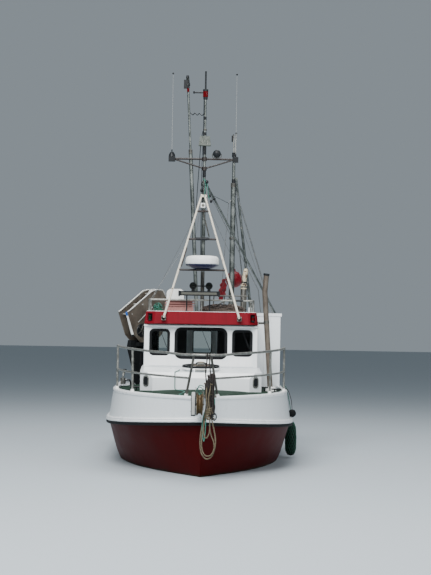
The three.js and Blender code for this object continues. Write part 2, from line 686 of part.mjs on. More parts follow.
function roofBody() {
  const { half, flatHalf, frontY, chamferY, backY, topZ, wall, skin } = ROOF;
  const plan = [
    [-half, backY], [-half, chamferY], [-flatHalf, frontY],
    [flatHalf, frontY], [half, chamferY], [half, backY],
  ];
  const whole = prism("z", plan, HOUSE.topZ, topZ);
  const inside = block([-half + wall, -1090, HOUSE.topZ - 1], [half - wall, backY - wall, topZ - skin]);
  return cut(whole, inside, sideLightRecess(1), sideLightRecess(-1));
}

function helmConsole() {
  const outline = [
    [-1040, HOUSE.floorZ + GAP], [-690, HOUSE.floorZ + GAP], [-690, 1560], [-800, 1640], [-1040, 1640],
  ];
  return prism("x", outline, 20, 900);
}

function steeringWheel() {
  const rimRadius = 200;
  const rim = new THREE.TorusGeometry(rimRadius, 14, 6, 20).rotateX(Math.PI / 2).translate(0, 70, 0);
  const hub = bar([0, 0.6, 0], [0, 80, 0], 32, 24, 16);
  const spokes = Array.from({ length: 3 }, (_, i) => {
    const turn = (i / 3) * 2 * Math.PI + Math.PI / 6;
    return bar([0, 70, 0], [rimRadius * Math.cos(turn), 70, rimRadius * Math.sin(turn)], 9, undefined, 8);
  });
  return join(rim, hub, ...spokes);
}

function helmSeat() {
  const base = bar([0, 0, HOUSE.floorZ + GAP], [0, 0, HOUSE.floorZ + 15], 150, undefined, 16);
  const column = bar([0, 0, HOUSE.floorZ + 10], [0, 0, 1360], 38);
  const cushion = block([-230, -220, 1350], [230, 220, 1450]);
  const back = block([-220, 140, 1430], [220, 220, 1860]);
  return join(base, column, cushion, back);
}

function floorPanel() {
  const half = HOUSE.innerHalf - GAP;
  return block([-half, -1150 + GAP, HOUSE.floorZ - WELL.panel + GAP], [half, 720 - GAP, HOUSE.floorZ]);
}

function wheelhouseGroup() {
  const frontSlab = leaningSlab(0, HOUSE.wall, HOUSE.half, CABIN.topZ + GAP, HOUSE.topZ - GAP);
  const front = cut(frontSlab, ...holesIn("front"));
  const doorGlass = WINDOWS.find(({ wall }) => wall === "door");
  const doorPane = pane(doorGlass);
  doorPane.position.set(-DOOR.hingeX, -DOOR.hingeY, 0);
  const door = group([DOOR.hingeX, DOOR.hingeY, 0], doorLeaf(), doorPane);
  return group(
    [0, 0, 0],
    piece("wheelhouse_front", front, FINISH.white),
    piece("wheelhouse_port_side", sideWall(1), FINISH.white),
    piece("wheelhouse_starboard_side", sideWall(-1), FINISH.white),
    piece("wheelhouse_back", backWall(), FINISH.white),
    piece("wheelhouse_roof", roofBody(), FINISH.roofRed),
    piece("wheelhouse_floor", floorPanel(), FINISH.wood),
    door,
    ...WINDOWS.filter((opening) => opening !== doorGlass).map(pane),
    piece("helm_console", helmConsole(), FINISH.wood),
    piece("steering_wheel", steeringWheel(), FINISH.black, [450, -690, 1360]),
    piece("helm_seat", helmSeat(), FINISH.vinyl, [450, 60, 0]),
  );
}

// Rails, and what stands on the roof
/** A place over the gunwale, by the distance t, the side, a height and how far out it leans. */
function overGunwale(t, side, z, lean = 0) {
  const bowward = Math.max(0, 1 - t / 2000);
  return [side * (gunwaleHalf(t) - BULWARK / 2 + lean * bowward), STEM_Y + t - 0.6 * lean * bowward, z];
}

/** One side of a rail over the gunwale, from its after end to the leg at the bow. */
function railSide(side, bowZ, aftZ, lean) {
  const stations = [RAIL.endT, 2600, 2100, 1600, 1050, 600];
  return stations.map((t) => overGunwale(t, side, lerp(bowZ, aftZ, t / RAIL.endT), lean));
}

/** The leg that leans in over the bow on one side, at a height. */
function bowLeg(side, z) {
  const foot = overGunwale(RAIL.legT, side, HULL.gunwaleZ + GAP);
  const share = (z - foot[2]) / (RAIL.bowZ - foot[2]);
  const [headX, headY] = RAIL.legHead;
  return [lerp(foot[0], side * headX, share), lerp(foot[1], headY, share), z];
}

function bowRailBody() {
  const { tube: radius, bowZ, aftZ, midBowZ, midAftZ, lean } = RAIL;
  const aroundBow = (side) => [
    ...railSide(side, bowZ, aftZ, lean), overGunwale(RAIL.legT, side, bowZ, lean), bowLeg(side, bowZ),
  ];
  const nose = [0, STEM_Y + 150 - 0.9 * lean, bowZ];
  const top = tube([...aroundBow(-1), nose, ...aroundBow(1).reverse()], radius, 6, 26);
  const middles = [-1, 1].map((side) =>
    tube([...railSide(side, midBowZ, midAftZ, lean * 0.47), bowLeg(side, midBowZ)], radius * 0.85, 6, 12),
  );
  const feet = [RAIL.legT, RAIL.postT, RAIL.endT].flatMap((t) =>
    [-1, 1].map((side) => {
      const foot = overGunwale(t, side, HULL.gunwaleZ + GAP);
      return bar(foot, overGunwale(t, side, HULL.gunwaleZ + 12), 28, undefined, 6);
    }),
  );
  const legs = [-1, 1].map((side) =>
    bar(bowLeg(side, HULL.gunwaleZ + GAP), bowLeg(side, bowZ), radius, undefined, 6),
  );
  const posts = [RAIL.postT, RAIL.endT].flatMap((t) =>
    [-1, 1].map((side) => {
      const head = overGunwale(t, side, lerp(bowZ, aftZ, t / RAIL.endT), lean);
      return bar(overGunwale(t, side, HULL.gunwaleZ + GAP), head, radius, undefined, 6);
    }),
  );
  const level = block([-2000, STEM_Y - 500, HULL.gunwaleZ - 100], [2000, 0, HULL.gunwaleZ + GAP]);
  return cut(join(top, ...middles, ...feet, ...legs, ...posts), level);
}

function roofRailBody() {
  const [half, railZ, frontY, backY] = [985, 3035, -1020, 700];
  const corners = [[-half, backY], [-half, frontY], [half, frontY], [half, backY]];
  const runs = corners
    .slice(1)
    .map((corner, i) => bar([...corners[i], railZ], [...corner, railZ], 16, undefined, 8));
  const knees = corners.map((corner) => new THREE.SphereGeometry(16.5, 6, 4).translate(...corner, railZ));
  const posts = [...corners, [-half, -160], [half, -160], [0, frontY]].map((corner) =>
    bar([...corner, ROOF.topZ + GAP], [...corner, railZ], 14, undefined, 8),
  );
  return join(...runs, ...knees, ...posts);
}

function roofBoxBody() {
  return block([-690, -1000, ROOF.topZ + GAP], [-130, -640, 3030]);
}

function liferaftBody() {
  const shell = prism("y", roundedRect([-665, 2880], [-335, 3250], 90), -260, 380);
  const cradles = [-130, 250].map((y) => block([-640, y - 25, ROOF.topZ + GAP], [-360, y + 25, 2890]));
  return join(shell, ...cradles);
}

// Masts
/** The leaning frame over the wheelhouse front that carries the radar: two legs and three rungs. */
function aFrameBody() {
  const [foot, apex] = [[705, ROOF.frontY - 74, 2690], [30, MAST.y - 90, 5040]];
  const at = (z) => {
    const share = (z - foot[2]) / (apex[2] - foot[2]);
    return foot.map((value, i) => lerp(value, apex[i], share));
  };
  const legs = [-1, 1].map((side) =>
    bar([side * foot[0], foot[1], foot[2]], [side * apex[0], apex[1], apex[2]], 26),
  );
  const rungs = [3600, 4190, 4730].map((z) =>
    bar([-at(z)[0], at(z)[1], z], [at(z)[0], at(z)[1], z], 17, undefined, 10),
  );
  const plates = [-1, 1].map((side) =>
    block([side * foot[0] - 40, foot[1] - 10, 2650], [side * foot[0] + 40, ROOF.frontY - GAP, 2730]),
  );
  const shelfOutline = roundedRect([-110, at(3600)[1] - 90], [110, at(3600)[1] + 150], 30);
  const radarShelf = prism("z", shelfOutline, 3605, 3619);
  const collar = block([-62, MAST.y - 130, 4990], [92, MAST.y, 5070]);
  const holeRadius = MAST.radius + GAP + 0.4;
  const mastHole = bar([MAST.x, MAST.y, 4000], [MAST.x, MAST.y, 5300], holeRadius, undefined, 16);
  return cut(join(...legs, ...rungs, ...plates, radarShelf, collar), mastHole);
}

function radomeBody() {
  const profile = [
    [0, 0], [150, 0], [230, 30], [300, 70], [310, 110], [308, 190], [285, 235], [200, 250], [0, 256],
  ];
  return turned(profile, 24);
}

function mainMastBody() {
  const { x, y, radius, topZ } = MAST;
  // from z, to z, radius
  const lengths = [
    [ROOF.topZ + GAP, 5300, radius], [5290, 6320, 27], [6310, 6900, 22], [6890, 7085, 52], [7080, topZ, 17],
  ];
  const stages = lengths.map(([from, to, size]) => bar([x, y, from], [x, y, to], size, undefined, 16));
  const foot = bar([x, y, ROOF.topZ + GAP], [x, y, ROOF.topZ + 14], 90, undefined, 16);
  const arm = bar([x, y, 7020], [x - 215, y, 7020], 10, undefined, 8);
  const reflectorOutline = [[x - 120, 6000], [x + 120, 6000], [x + 95, 6180], [x - 95, 6180]];
  const reflector = prism("y", reflectorOutline, y - 80, y + 80);
  return join(...stages, foot, arm, reflector);
}

function crosstreeBody() {
  const [z, braceZ, half] = [5745, 5560, 600];
  const { x, y } = MAST;
  const yard = bar([-half, y, z], [half, y, z], 17, undefined, 10);
  const braces = [-1, 1].map((side) =>
    bar([x, y, braceZ], [side * (half - 40), y, z - 12], 12, undefined, 8),
  );
  const heads = [-1, 1].map((side) =>
    block([side * half - 52, y - 50, z - 60], [side * half + 52, y + 50, z + 50]),
  );
  const whips = [-1, 1].map((side) =>
    bar([side * (half + 12), y, z], [side * (half + 12), y, 7330], 9, 6, 8),
  );
  const collars = [z, braceZ].map((height) =>
    bar([x, y, height - 35], [x, y, height + 35], 45, undefined, 16),
  );
  const mastHole = bar([x, y, 5300], [x, y, 6000], 27 + GAP + 0.4, undefined, 16);
  return cut(join(yard, ...braces, ...heads, ...whips, ...collars), mastHole);
}

function signalMastBody() {
  const { foot, head, topZ } = SIGNAL_MAST;
  const at = (z) => foot.map((value, i) => lerp(value, head[i], (z - ROOF.topZ) / (topZ - ROOF.topZ)));
  const lower = bar([...at(2700), 2700], [...at(6000), 6000], 38, undefined, 14);
  const upper = bar([...at(5990), 5990], [...at(7250), 7250], 22);
  const lamps = bar([...at(7200), 7200], [...at(topZ), topZ], 45, 30, 14);
  const flange = bar([...foot, ROOF.topZ + GAP], [...foot, ROOF.topZ + 14], 85, undefined, 16);
  const under = block([-500, 0, 2000], [500, 1200, ROOF.topZ + GAP]);
  return cut(join(lower, upper, lamps, flange), under);
}

/** The derrick mast's centre line at a height. */
function derrickAt(z) {
  const part = (z - WELL.topZ) / (DERRICK.shoulderZ - WELL.topZ);
  return [lerp(DERRICK.footX, DERRICK.headX, part), DERRICK.y, z];
}

function derrickMastBody() {
  const { radius, shoulderZ, topZ } = DERRICK;
  const lower = bar(derrickAt(300), derrickAt(shoulderZ), radius, radius * 0.85, 16);
  const upper = bar(derrickAt(shoulderZ - 20), derrickAt(topZ), 24);
  const shoulder = bar(derrickAt(shoulderZ - 40), derrickAt(shoulderZ + 60), 62, undefined, 16);
  const footTop = [derrickAt(WELL.topZ)[0], DERRICK.y, WELL.topZ + 16];
  const foot = bar(derrickAt(WELL.topZ + GAP), footTop, 130, undefined, 16);
  const stay = bar(derrickAt(5300), [950, 2200, 2700], 12, undefined, 8);
  const headStay = cut(stay, block([500, 2000, 2000], [1500, 2500, SHELTER.topZ + GAP]));
  const under = block([0, 900, 0], [1000, 1700, WELL.topZ + GAP]);
  return cut(join(lower, upper, shoulder, foot, headStay), under);
}

/** The boom on its hinge over the shelter, drawn from the hinge. */
function boomBody() {
  const reach = BOOM.head.map((value, i) => value - BOOM.hinge[i]);
  const pipe = bar([0, 0, 0], reach, BOOM.radius, 24);
  const eye = bar([0, -40, 0], [0, 40, 0], 36, undefined, 16);
  const [eyeX, eyeY, eyeZ] = reach;
  const headEye = bar([eyeX, eyeY - 22, eyeZ], [eyeX, eyeY + 22, eyeZ], 34, undefined, 14);
  const pinHole = bar([0, -60, 0], [0, 60, 0], 16.6, undefined, 16);
  return cut(join(pipe, eye, headEye), pinHole);
}

function portStayBody() {
  const top = [MAST.x, MAST.y, 5340];
  const stay = bar(top, [1560, 970, 2700], 20, undefined, 10);
  const clamp = bar([MAST.x, MAST.y, 5230], [MAST.x, MAST.y, 5280], 60, undefined, 16);
  const holeRadius = MAST.radius + GAP + 0.4;
  const mastHole = bar([MAST.x, MAST.y, 4900], [MAST.x, MAST.y, 5500], holeRadius, undefined, 16);
  const under = block([1000, 500, 2500], [2000, 1500, SHELTER.topZ + GAP]);
  return cut(join(stay, clamp), mastHole, under);
}

function mastGroup() {
  return group(
    [0, 0, 0],
    piece("a_frame", aFrameBody(), FINISH.cream),
    piece("radome", radomeBody(), FINISH.radomeWhite, [0, -1020, 3619 + GAP]),
    piece("main_mast", mainMastBody(), FINISH.aluminium),
    piece("crosstree", crosstreeBody(), FINISH.aluminium),
    piece("signal_mast", signalMastBody(), FINISH.aluminium),
    piece("derrick_mast", derrickMastBody(), FINISH.aluminium),
    piece("derrick_boom", boomBody(), FINISH.aluminium, BOOM.hinge),
    piece("mast_stay_port", portStayBody(), FINISH.aluminium),
  );
}

// Deck fittings
function exhaustBody() {
  const { x, y, radius, topZ } = STACK;
  const stack = bar([x, y, WELL.topZ + GAP], [x, y, topZ], radius, undefined, 16);
  const path = [
    [x, y, topZ - 20], [x + 5, y, topZ + 120], [x + 25, y + 25, topZ + 240], [x + 42, y + 130, topZ + 330],
  ];
  const elbow = tube(path, 48, 12, 10);
  return join(stack, elbow);
}

function ventPipeBody() {
  const { y, radius, footX, knee, top } = VENT;
  const foot = [footX, y, deckZ(footX, y - STEM_Y) + GAP];
  const bend = [knee[0], y, knee[1]];
  const flange = bar(foot, [foot[0], y, foot[2] + 14], 105, undefined, 16);
  const lower = bar([foot[0], y, foot[2] - 60], bend, radius, undefined, 16);
  const upper = bar(bend, [top[0], y, top[1]], radius, undefined, 16);
  const elbow = new THREE.SphereGeometry(radius, 8, 4).translate(...bend);
  const cap = bar([top[0] - 3, y, top[1] - 15], [top[0] + 3, y, top[1] + 25], 57, undefined, 16);
  const bracket = block([ROOF.half + GAP, y - 10, 2600], [1190, -1100, 2640]);
  const under = deckBand(0, () => 1000, (x, t) => deckZ(x, t) + GAP);
  return cut(join(flange, lower, upper, elbow, cap, bracket), under);
}

/** The net hauler's frame: a post on the working deck and two cheek plates, drawn along the hauler. */
function haulerFrameBody() {
  const { halfGap, plate, postU, sheaveU, sheaveZ } = HAULER;
  const cheekLine = [
    [0, 2800], [60, 2830], [680, 3230], [840, 3265], [1000, 3255],
    [1090, 3130], [1000, 2380], [720, 2160], [430, 2160], [200, 2350],
  ];
  const cheeks = [-1, 1].map((side) => {
    const inner = side * halfGap;
    const outer = inner + side * plate;
    return prism("y", cheekLine, Math.min(inner, outer), Math.max(inner, outer));
  });
  const outer = halfGap + plate;
  const ties = [[130, 2760], [420, 2960], [760, 3180], [1020, 3080], [960, 2420]].map(([u, z]) =>
    bar([u, -outer, z], [u, outer, z], 14, undefined, 10),
  );
  const post = bar([postU, 0, WELL.topZ + GAP], [postU, 0, 2150], 70, undefined, 16);
  const foot = bar([postU, 0, WELL.topZ + GAP], [postU, 0, WELL.topZ + 18], 150, undefined, 16);
  const cradle = block([postU - 170, -outer - 8, 2120], [postU + 170, outer + 8, 2245]);
  const axle = bar([sheaveU, -outer - 20, sheaveZ], [sheaveU, outer + 20, sheaveZ], 15, undefined, 16);
  const roller = bar([50, -halfGap + 40, 2780], [225, -halfGap + 40, 2340], 42, undefined, 14);
  const rollerEnds = [[62, 2760], [222, 2370]].map(([u, z]) =>
    bar([u, -halfGap - 5, z], [u, -halfGap + 40, z], 14, undefined, 8),
  );
  return join(...cheeks, ...ties, post, foot, cradle, axle, roller, ...rollerEnds);
}

function haulerSheaveBody() {
  const profile = [[0, -96], [150, -96], [150, -70], [85, -20], [85, 20], [150, 70], [150, 96], [0, 96]];
  const wheel = turned(profile, 20).rotateX(Math.PI / 2);
  return cut(wheel, bar([0, -200, 0], [0, 200, 0], 15.6, undefined, 16));
}

function haulerGroup() {
  const sheaveAt = [HAULER.sheaveU, 0, HAULER.sheaveZ];
  const sheave = piece("hauler_sheave", haulerSheaveBody(), FINISH.black, sheaveAt);
  const frame = piece("net_hauler_frame", haulerFrameBody(), FINISH.aluminium);
  const made = group([HAULER.x, HAULER.y, 0], frame, sheave);
  made.rotation.z = THREE.MathUtils.degToRad(HAULER.angle);
  return made;
}

function shelterWallBody() {
  const { frontY, wall, underZ } = SHELTER;
  const aboveRail = HULL.gunwaleZ + GAP;
  const side = block([SHELTER_WALL_X, frontY, aboveRail], [SHELTER_WALL_X + wall, 3300, underZ - GAP]);
  const front = block(
    [HOUSE.half + 5, frontY, aboveRail],
    [SHELTER_WALL_X + 1, frontY + wall, underZ - GAP],
  );
  const lower = block(
    [HOUSE.half + 5, frontY, WELL.topZ + GAP],
    [HULL.gunwaleHalf - WELL.wall - GAP, frontY + wall, HULL.gunwaleZ + 1],
  );
  return join(side, front, lower);
}

function shelterRoofBody() {
  const { fromX, toX, fromY, toY, underZ, topZ } = SHELTER;
  const slab = block([fromX, fromY, underZ], [toX, toY, topZ]);
  const posts = SHELTER.posts.map(([x, y]) => {
    const low = x > 1000 ? HULL.gunwaleZ : WELL.topZ;
    return bar([x, y, low + GAP], [x, y, underZ + 10], 22);
  });
  const mastHole = bar(derrickAt(2600), derrickAt(3000), DERRICK.radius + GAP, undefined, 16);
  const holeRadius = STACK.radius + 0.6;
  const stackHole = bar([STACK.x, STACK.y, 2600], [STACK.x, STACK.y, 3000], holeRadius, undefined, 16);
  const [hingeX, hingeY, hingeZ] = BOOM.hinge;
  const ears = [-1, 1].map((side) => {
    const [near, far] = [hingeY + side * 41, hingeY + side * 53];
    const [low, high] = [Math.min(near, far), Math.max(near, far)];
    return block([hingeX - 45, low, topZ - 10], [hingeX + 45, high, hingeZ + 32]);
  });
  const pin = bar([hingeX, hingeY - 62, hingeZ], [hingeX, hingeY + 62, hingeZ], 16, undefined, 16);
  return join(cut(slab, mastHole, stackHole), ...posts, ...ears, pin);
}

function holdCoamingBody() {
  const { half, fromY, toY, coaming, rimZ } = HOLD;
  const outer = block(
    [-half - coaming, fromY - coaming, WELL.topZ + GAP],
    [half + coaming, toY + coaming, rimZ],
  );
  const lugs = [-1, 1].map((side) => {
    const x = side * 300;
    return block([x - 12, fromY - coaming - 34, rimZ - 60], [x + 12, fromY - coaming + 5, rimZ + 42]);
  });
  const notch = block([-half, fromY, 0], [half, toY, ABOVE]);
  return cut(join(outer, ...lugs), notch);
}

/** The hold's lid, drawn from its hinge at the forward edge. */
function holdHatchBody() {
  const { half, fromY, toY, coaming, rimZ, lid } = HOLD;
  const [hingeY, hingeZ] = [fromY - coaming - 18, rimZ + 24];
  const slab = block(
    [-half - 90, 2, rimZ + GAP - hingeZ],
    [half + 90, toY + 90 - hingeY, rimZ + lid - hingeZ],
  );
  const knuckles = [-1, 1].flatMap((side) =>
    [-1, 1].map((end) => {
      const [near, far] = [side * 300 + end * 12.6, side * 300 + end * 50];
      const strap = block([Math.min(near, far), -4, -8], [Math.max(near, far), 30, 8]);
      return join(bar([near, 0, 0], [far, 0, 0], 12), strap);
    }),
  );
  const reliefs = [-1, 1].map((side) => block([side * 300 - 18, -60, -100], [side * 300 + 18, 36, 100]));
  return piece("hold_hatch", join(cut(slab, ...reliefs), ...knuckles), FINISH.white, [0, hingeY, hingeZ]);
}

// Bow gear
function bowRollerFrameBody() {
  const { sheaveX, sheaveY, sheaveZ, sheaveHalf, cheek } = BOW;
  const base = block([-140, -4957, HULL.gunwaleZ + GAP], [240, -4480, HULL.gunwaleZ + 16]);
  const cheekLine = [
    [-4560, 1384], [-4560, 1470], [-4700, 1540], [-5150, 1380],
    [-5170, 1210], [-5090, 1170], [-5000, 1220], [-4930, 1384],
  ];
  const cheeks = [-1, 1].map((side) => {
    const inner = sheaveX + side * (sheaveHalf + 5);
    const outer = inner + side * cheek;
    return prism("x", cheekLine, Math.min(inner, outer), Math.max(inner, outer));
  });
  const reach = sheaveHalf + 5 + cheek;
  const axleEnds = [-1, 1].map((side) => [sheaveX + side * (reach + 12), sheaveY, sheaveZ]);
  const axle = bar(...axleEnds, 14, undefined, 16);
  const { x, y, radius, topZ, pinZ, pinHalf } = BITT;
  const bitt = bar([x, y, HULL.gunwaleZ + 10], [x, y, topZ], radius, undefined, 14);
  const bittPin = bar([x - pinHalf, y, pinZ], [x + pinHalf, y, pinZ], 13, undefined, 10);
  const slot = block([sheaveX - sheaveHalf - 5, -5000, 1300], [sheaveX + sheaveHalf + 5, -4800, 1500]);
  return join(cut(base, slot), ...cheeks, axle, bitt, bittPin);
}

function bowSheaveBody() {
  const { sheaveRadius: radius, sheaveHalf: half } = BOW;
  const floor = radius - 34;
  const profile = [
    [0, -half], [radius, -half], [radius, -half + 14], [floor, -16],
    [floor, 16], [radius, half - 14], [radius, half], [0, half],
  ];
  const wheel = turned(profile, 24).rotateY(Math.PI / 2);
  return cut(wheel, bar([-100, 0, 0], [100, 0, 0], 14.6, undefined, 16));
}

function anchorBody() {
  const [x, backY] = [150, -4957 - GAP];
  const shankLine = [[x - 20, 1130], [x + 20, 1130], [x + 34, 1780], [x - 34, 1780]];
  const shank = prism("y", shankLine, backY - 24, backY);
  const stock = bar([x - 75, backY - 12, 1735], [x + 75, backY - 12, 1735], 11, undefined, 10);
  const crown = block([x - 65, backY - 46, 1090], [x + 65, backY + 14, 1150]);
  const flukeLine = [[26, 1140], [64, 1140], [74, 1230], [40, 1400], [26, 1230]];
  const flukes = [-1, 1].map((side) => {
    const outline = flukeLine.map(([out, z]) => [x + side * out, z]);
    return prism("y", outline, backY - 44, backY - 32);
  });
  return join(shank, stock, crown, ...flukes);
}

// Ropes: their centre lines, by hand
const BOW_ROPE = {
  radius: 12,
  points: [
    [120, -4725.6, 1545], [117, -4800, 1551], [102, -4870, 1552], [92, -4945, 1510], [84, -4995, 1420],
    [74, -5015, 1290], [48, -5012, 1120], [14, -5004, 940], [-14, -4998, 760], [-18, -4996, 590],
    [14, -4998, 445], [84, -5000, 372], [160, -4998, 400], [216, -4998, 520], [232, -5000, 680],
    [206, -5006, 850], [168, -5024, 1010], [144, -5038, 1160], [116, -5040, 1330], [96, -5030, 1450],
    [78, -4975, 1545], [66, -4890, 1585], [90, -4800, 1583], [100, -4725.6, 1578],
  ],
};
const GREEN_ROPE = {
  radius: 8,
  points: [
    [-392, -1850, 1746], [-396, -1960, 1738], [-414, -2090, 1730], [-446, -2220, 1722],
    [-466, -2330, 1716], [-470, -2388, 1717], [-471, -2418, 1708], [-471, -2434, 1680],
    [-471, -2435, 1590], [-470, -2436, 1480], [-468, -2446, 1434], [-462, -2486, 1411],
    [-440, -2580, 1406.5], [-340, -2850, 1400], [-290, -3100, 1391.5], [-330, -3380, 1379],
    [-380, -3640, 1366.5], [-310, -3900, 1358.5], [-190, -4120, 1353.5], [-100, -4290, 1350],
    [-56, -4384, 1367], [-44, -4448, 1413], [-40, -4520, 1406], [-40, -4585, 1405],
  ],
};

function bowGroup() {
  const { sheaveX, sheaveY, sheaveZ } = BOW;
  return group(
    [0, 0, 0],
    piece("bow_rail", bowRailBody(), FINISH.aluminium),
    piece("bow_roller_frame", bowRollerFrameBody(), FINISH.aluminium),
    piece("bow_sheave", bowSheaveBody(), FINISH.rust, [sheaveX, sheaveY, sheaveZ]),
    piece("anchor", anchorBody(), FINISH.rust),
    piece("bow_rope", tube(BOW_ROPE.points, BOW_ROPE.radius, 8, 48), FINISH.rope),
    piece("green_rope", tube(GREEN_ROPE.points, GREEN_ROPE.radius, 8, 54), FINISH.greenRope),
  );
}

function ballBuoyBody() {
  const { radius } = BUOY;
  const ball = new THREE.SphereGeometry(radius, 16, 10).rotateX(Math.PI / 2);
  return join(ball, bar([0, 0, radius - 12], [0, 0, radius + 45], 28, 20));
}

/** The net bag that hangs as a fender, with its lanyard up to the gunwale. */
function fenderBody() {
  const bag = turned([[0, 40], [70, 60], [105, 160], [112, 380], [98, 600], [50, 710], [0, 730]], 16);
  const lanyard = [[0, 0, 700], [-2, 0, 850], [-40, 0, 1100], [-132, 0, 1400], [-200, 0, 1387.3]];
  const runs = lanyard.slice(1).map((end, i) => bar(lanyard[i], end, 7, undefined, 8));
  return join(bag, ...runs);
}

function deckGroup() {
  const ballY = DERRICK.y + Math.sqrt(BUOY.reach ** 2 - BUOY.offset ** 2);
  return group(
    [0, 0, 0],
    piece("roof_rail", roofRailBody(), FINISH.aluminium),
    piece("roof_box", roofBoxBody(), FINISH.boxPink),
    piece("liferaft", liferaftBody(), FINISH.white),
    piece("exhaust_stack", exhaustBody(), FINISH.aluminium),
    piece("vent_pipe", ventPipeBody(), FINISH.aluminium),
    piece("shelter_wall", shelterWallBody(), FINISH.white),
    piece("shelter_roof", shelterRoofBody(), FINISH.white),
    piece("hold_coaming", holdCoamingBody(), FINISH.white),
    holdHatchBody(),
    piece("ball_buoy", ballBuoyBody(), FINISH.buoyRed, [derrickAt(BUOY.z)[0] + BUOY.offset, ballY, BUOY.z]),
    piece("fender", fenderBody(), FINISH.net, [1800, 300, 0]),
  );
}

export default group(
  [0, 0, 0],
  hullGroup(),
  cabinGroup(),
  wheelhouseGroup(),
  mastGroup(),
  haulerGroup(),
  bowGroup(),
  deckGroup(),
);
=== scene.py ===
"""The looks of a small inshore fishing boat, afloat and seen from ahead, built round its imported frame.

Metres throughout: +X is to port, +Y aft and +Z up, from the waterline amidships.
"""

from __future__ import annotations

import logging
import math
import random
from collections.abc import Callable, Sequence
from dataclasses import dataclass
from enum import Enum

import bmesh
import bpy
from mathutils import Matrix, Vector, noise


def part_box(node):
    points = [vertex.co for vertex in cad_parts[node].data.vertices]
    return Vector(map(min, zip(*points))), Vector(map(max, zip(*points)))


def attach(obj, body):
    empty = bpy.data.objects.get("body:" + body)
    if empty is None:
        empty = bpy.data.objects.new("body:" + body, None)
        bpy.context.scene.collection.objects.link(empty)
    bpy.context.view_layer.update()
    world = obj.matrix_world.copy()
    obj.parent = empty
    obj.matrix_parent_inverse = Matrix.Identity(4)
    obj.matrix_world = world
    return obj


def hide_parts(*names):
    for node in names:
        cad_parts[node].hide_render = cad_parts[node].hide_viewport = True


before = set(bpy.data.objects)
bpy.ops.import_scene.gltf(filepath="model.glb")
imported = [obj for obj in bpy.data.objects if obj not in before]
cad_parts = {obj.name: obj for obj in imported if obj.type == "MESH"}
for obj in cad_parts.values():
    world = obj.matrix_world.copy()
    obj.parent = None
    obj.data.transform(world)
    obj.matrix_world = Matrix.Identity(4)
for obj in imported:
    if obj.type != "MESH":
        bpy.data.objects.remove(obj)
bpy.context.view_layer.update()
LOG = logging.getLogger("boat")

Point = Sequence[float]
Profile = Sequence[tuple[float, float]]
Socket = bpy.types.NodeSocket
BOAT = "boat"
WELD = 1e-5
# The height of both roofs' tops, and of the well deck
ROOF = 2.82
WELL = 0.4003


# Finishes


def linear(code: str) -> tuple[float, float, float, float]:
    """The linear colour, with a full alpha, of six sRGB hex digits."""
    shares = [int(code[i : i + 2], 16) / 255 for i in (0, 2, 4)]
    return (*(v / 12.92 if v <= 0.04045 else ((v + 0.055) / 1.055) ** 2.4 for v in shares), 1.0)


def add_node(
    tree: bpy.types.NodeTree, kind: str, inputs: dict | None = None, **settings: object
) -> bpy.types.Node:
    """Adds a node with its settings, values and links.

    Args:
        tree: the tree that it goes into.
        kind: the node's type name.
        inputs: a value, or another node's output to link, by input name or number.
        **settings: the node's own properties.

    Returns:
        The new node.
    """
    node = tree.nodes.new(kind)
    for key, value in settings.items():
        setattr(node, key, value)
    for key, value in (inputs or {}).items():
        if isinstance(value, Socket):
            tree.links.new(value, node.inputs[key])
        else:
            node.inputs[key].default_value = value
    return node


@dataclass(frozen=True)
class Recipe:
    """A material's tree while it is wired, and short ways to add what the finishes share."""

    tree: bpy.types.NodeTree
    place: Socket

    def cloud(self, size_mm: float, detail: float = 5.0, place: Socket | None = None) -> Socket:
        """Noise whose clouds are about size_mm wide."""
        inputs = {"Vector": place or self.place, "Scale": 1000 / size_mm, "Detail": detail, "Roughness": 0.6}
        return add_node(self.tree, "ShaderNodeTexNoise", inputs).outputs[0]

    def blend(self, share: Socket, low: str | Socket, high: str | Socket) -> Socket:
        """A colour between two, each a hex value or an output."""
        ends = [linear(end) if isinstance(end, str) else end for end in (low, high)]
        inputs = {0: share, 6: ends[0], 7: ends[1]}
        return add_node(self.tree, "ShaderNodeMix", inputs, data_type="RGBA").outputs[2]

    def spread(self, value: Socket, start: float, end: float, low: float = 0.0, high: float = 1.0) -> Socket:
        """The value's range from start to end laid over low to high."""
        inputs = {"Value": value, "From Min": start, "From Max": end, "To Min": low, "To Max": high}
        return add_node(self.tree, "ShaderNodeMapRange", inputs).outputs[0]

    def math(self, kind: str, *values: Socket | float) -> Socket:
        """A sum, product or comparison."""
        return add_node(self.tree, "ShaderNodeMath", dict(enumerate(values)), operation=kind).outputs[0]

    def stretched(self, scale: Point) -> Socket:
        """The coordinates, scaled on each axis."""
        return add_node(self.tree, "ShaderNodeMapping", {"Vector": self.place, "Scale": scale}).outputs[0]

    def height(self) -> Socket:
        """The height above the water."""
        return add_node(self.tree, "ShaderNodeSeparateXYZ", {0: self.place}).outputs[2]

    def bump(self, height: Socket, strength: float, depth: float) -> Socket:
        """Normals for a relief of a depth in metres."""
        inputs = {"Height": height, "Strength": strength, "Distance": depth}
        return add_node(self.tree, "ShaderNodeBump", inputs).outputs[0]


@dataclass(frozen=True)
class Finish:
    """What every finish has: its name, the slot that it belongs to and its sRGB colour."""

    name: str
    slot: str
    color: str

    def make(self) -> bpy.types.Material:
        """Builds the node material, which reads Object coordinates in metres."""
        material = bpy.data.materials.new(self.name)
        material.use_nodes = True
        tree = material.node_tree
        tree.nodes.clear()
        place = add_node(tree, "ShaderNodeTexCoord").outputs["Object"]
        shader = add_node(tree, "ShaderNodeBsdfPrincipled", self.surface(Recipe(tree, place)))
        add_node(tree, "ShaderNodeOutputMaterial", {"Surface": shader.outputs[0]})
        return material

    def surface(self, recipe: Recipe) -> dict:
        """The shader's inputs by name, which each kind of finish gives."""
        raise NotImplementedError


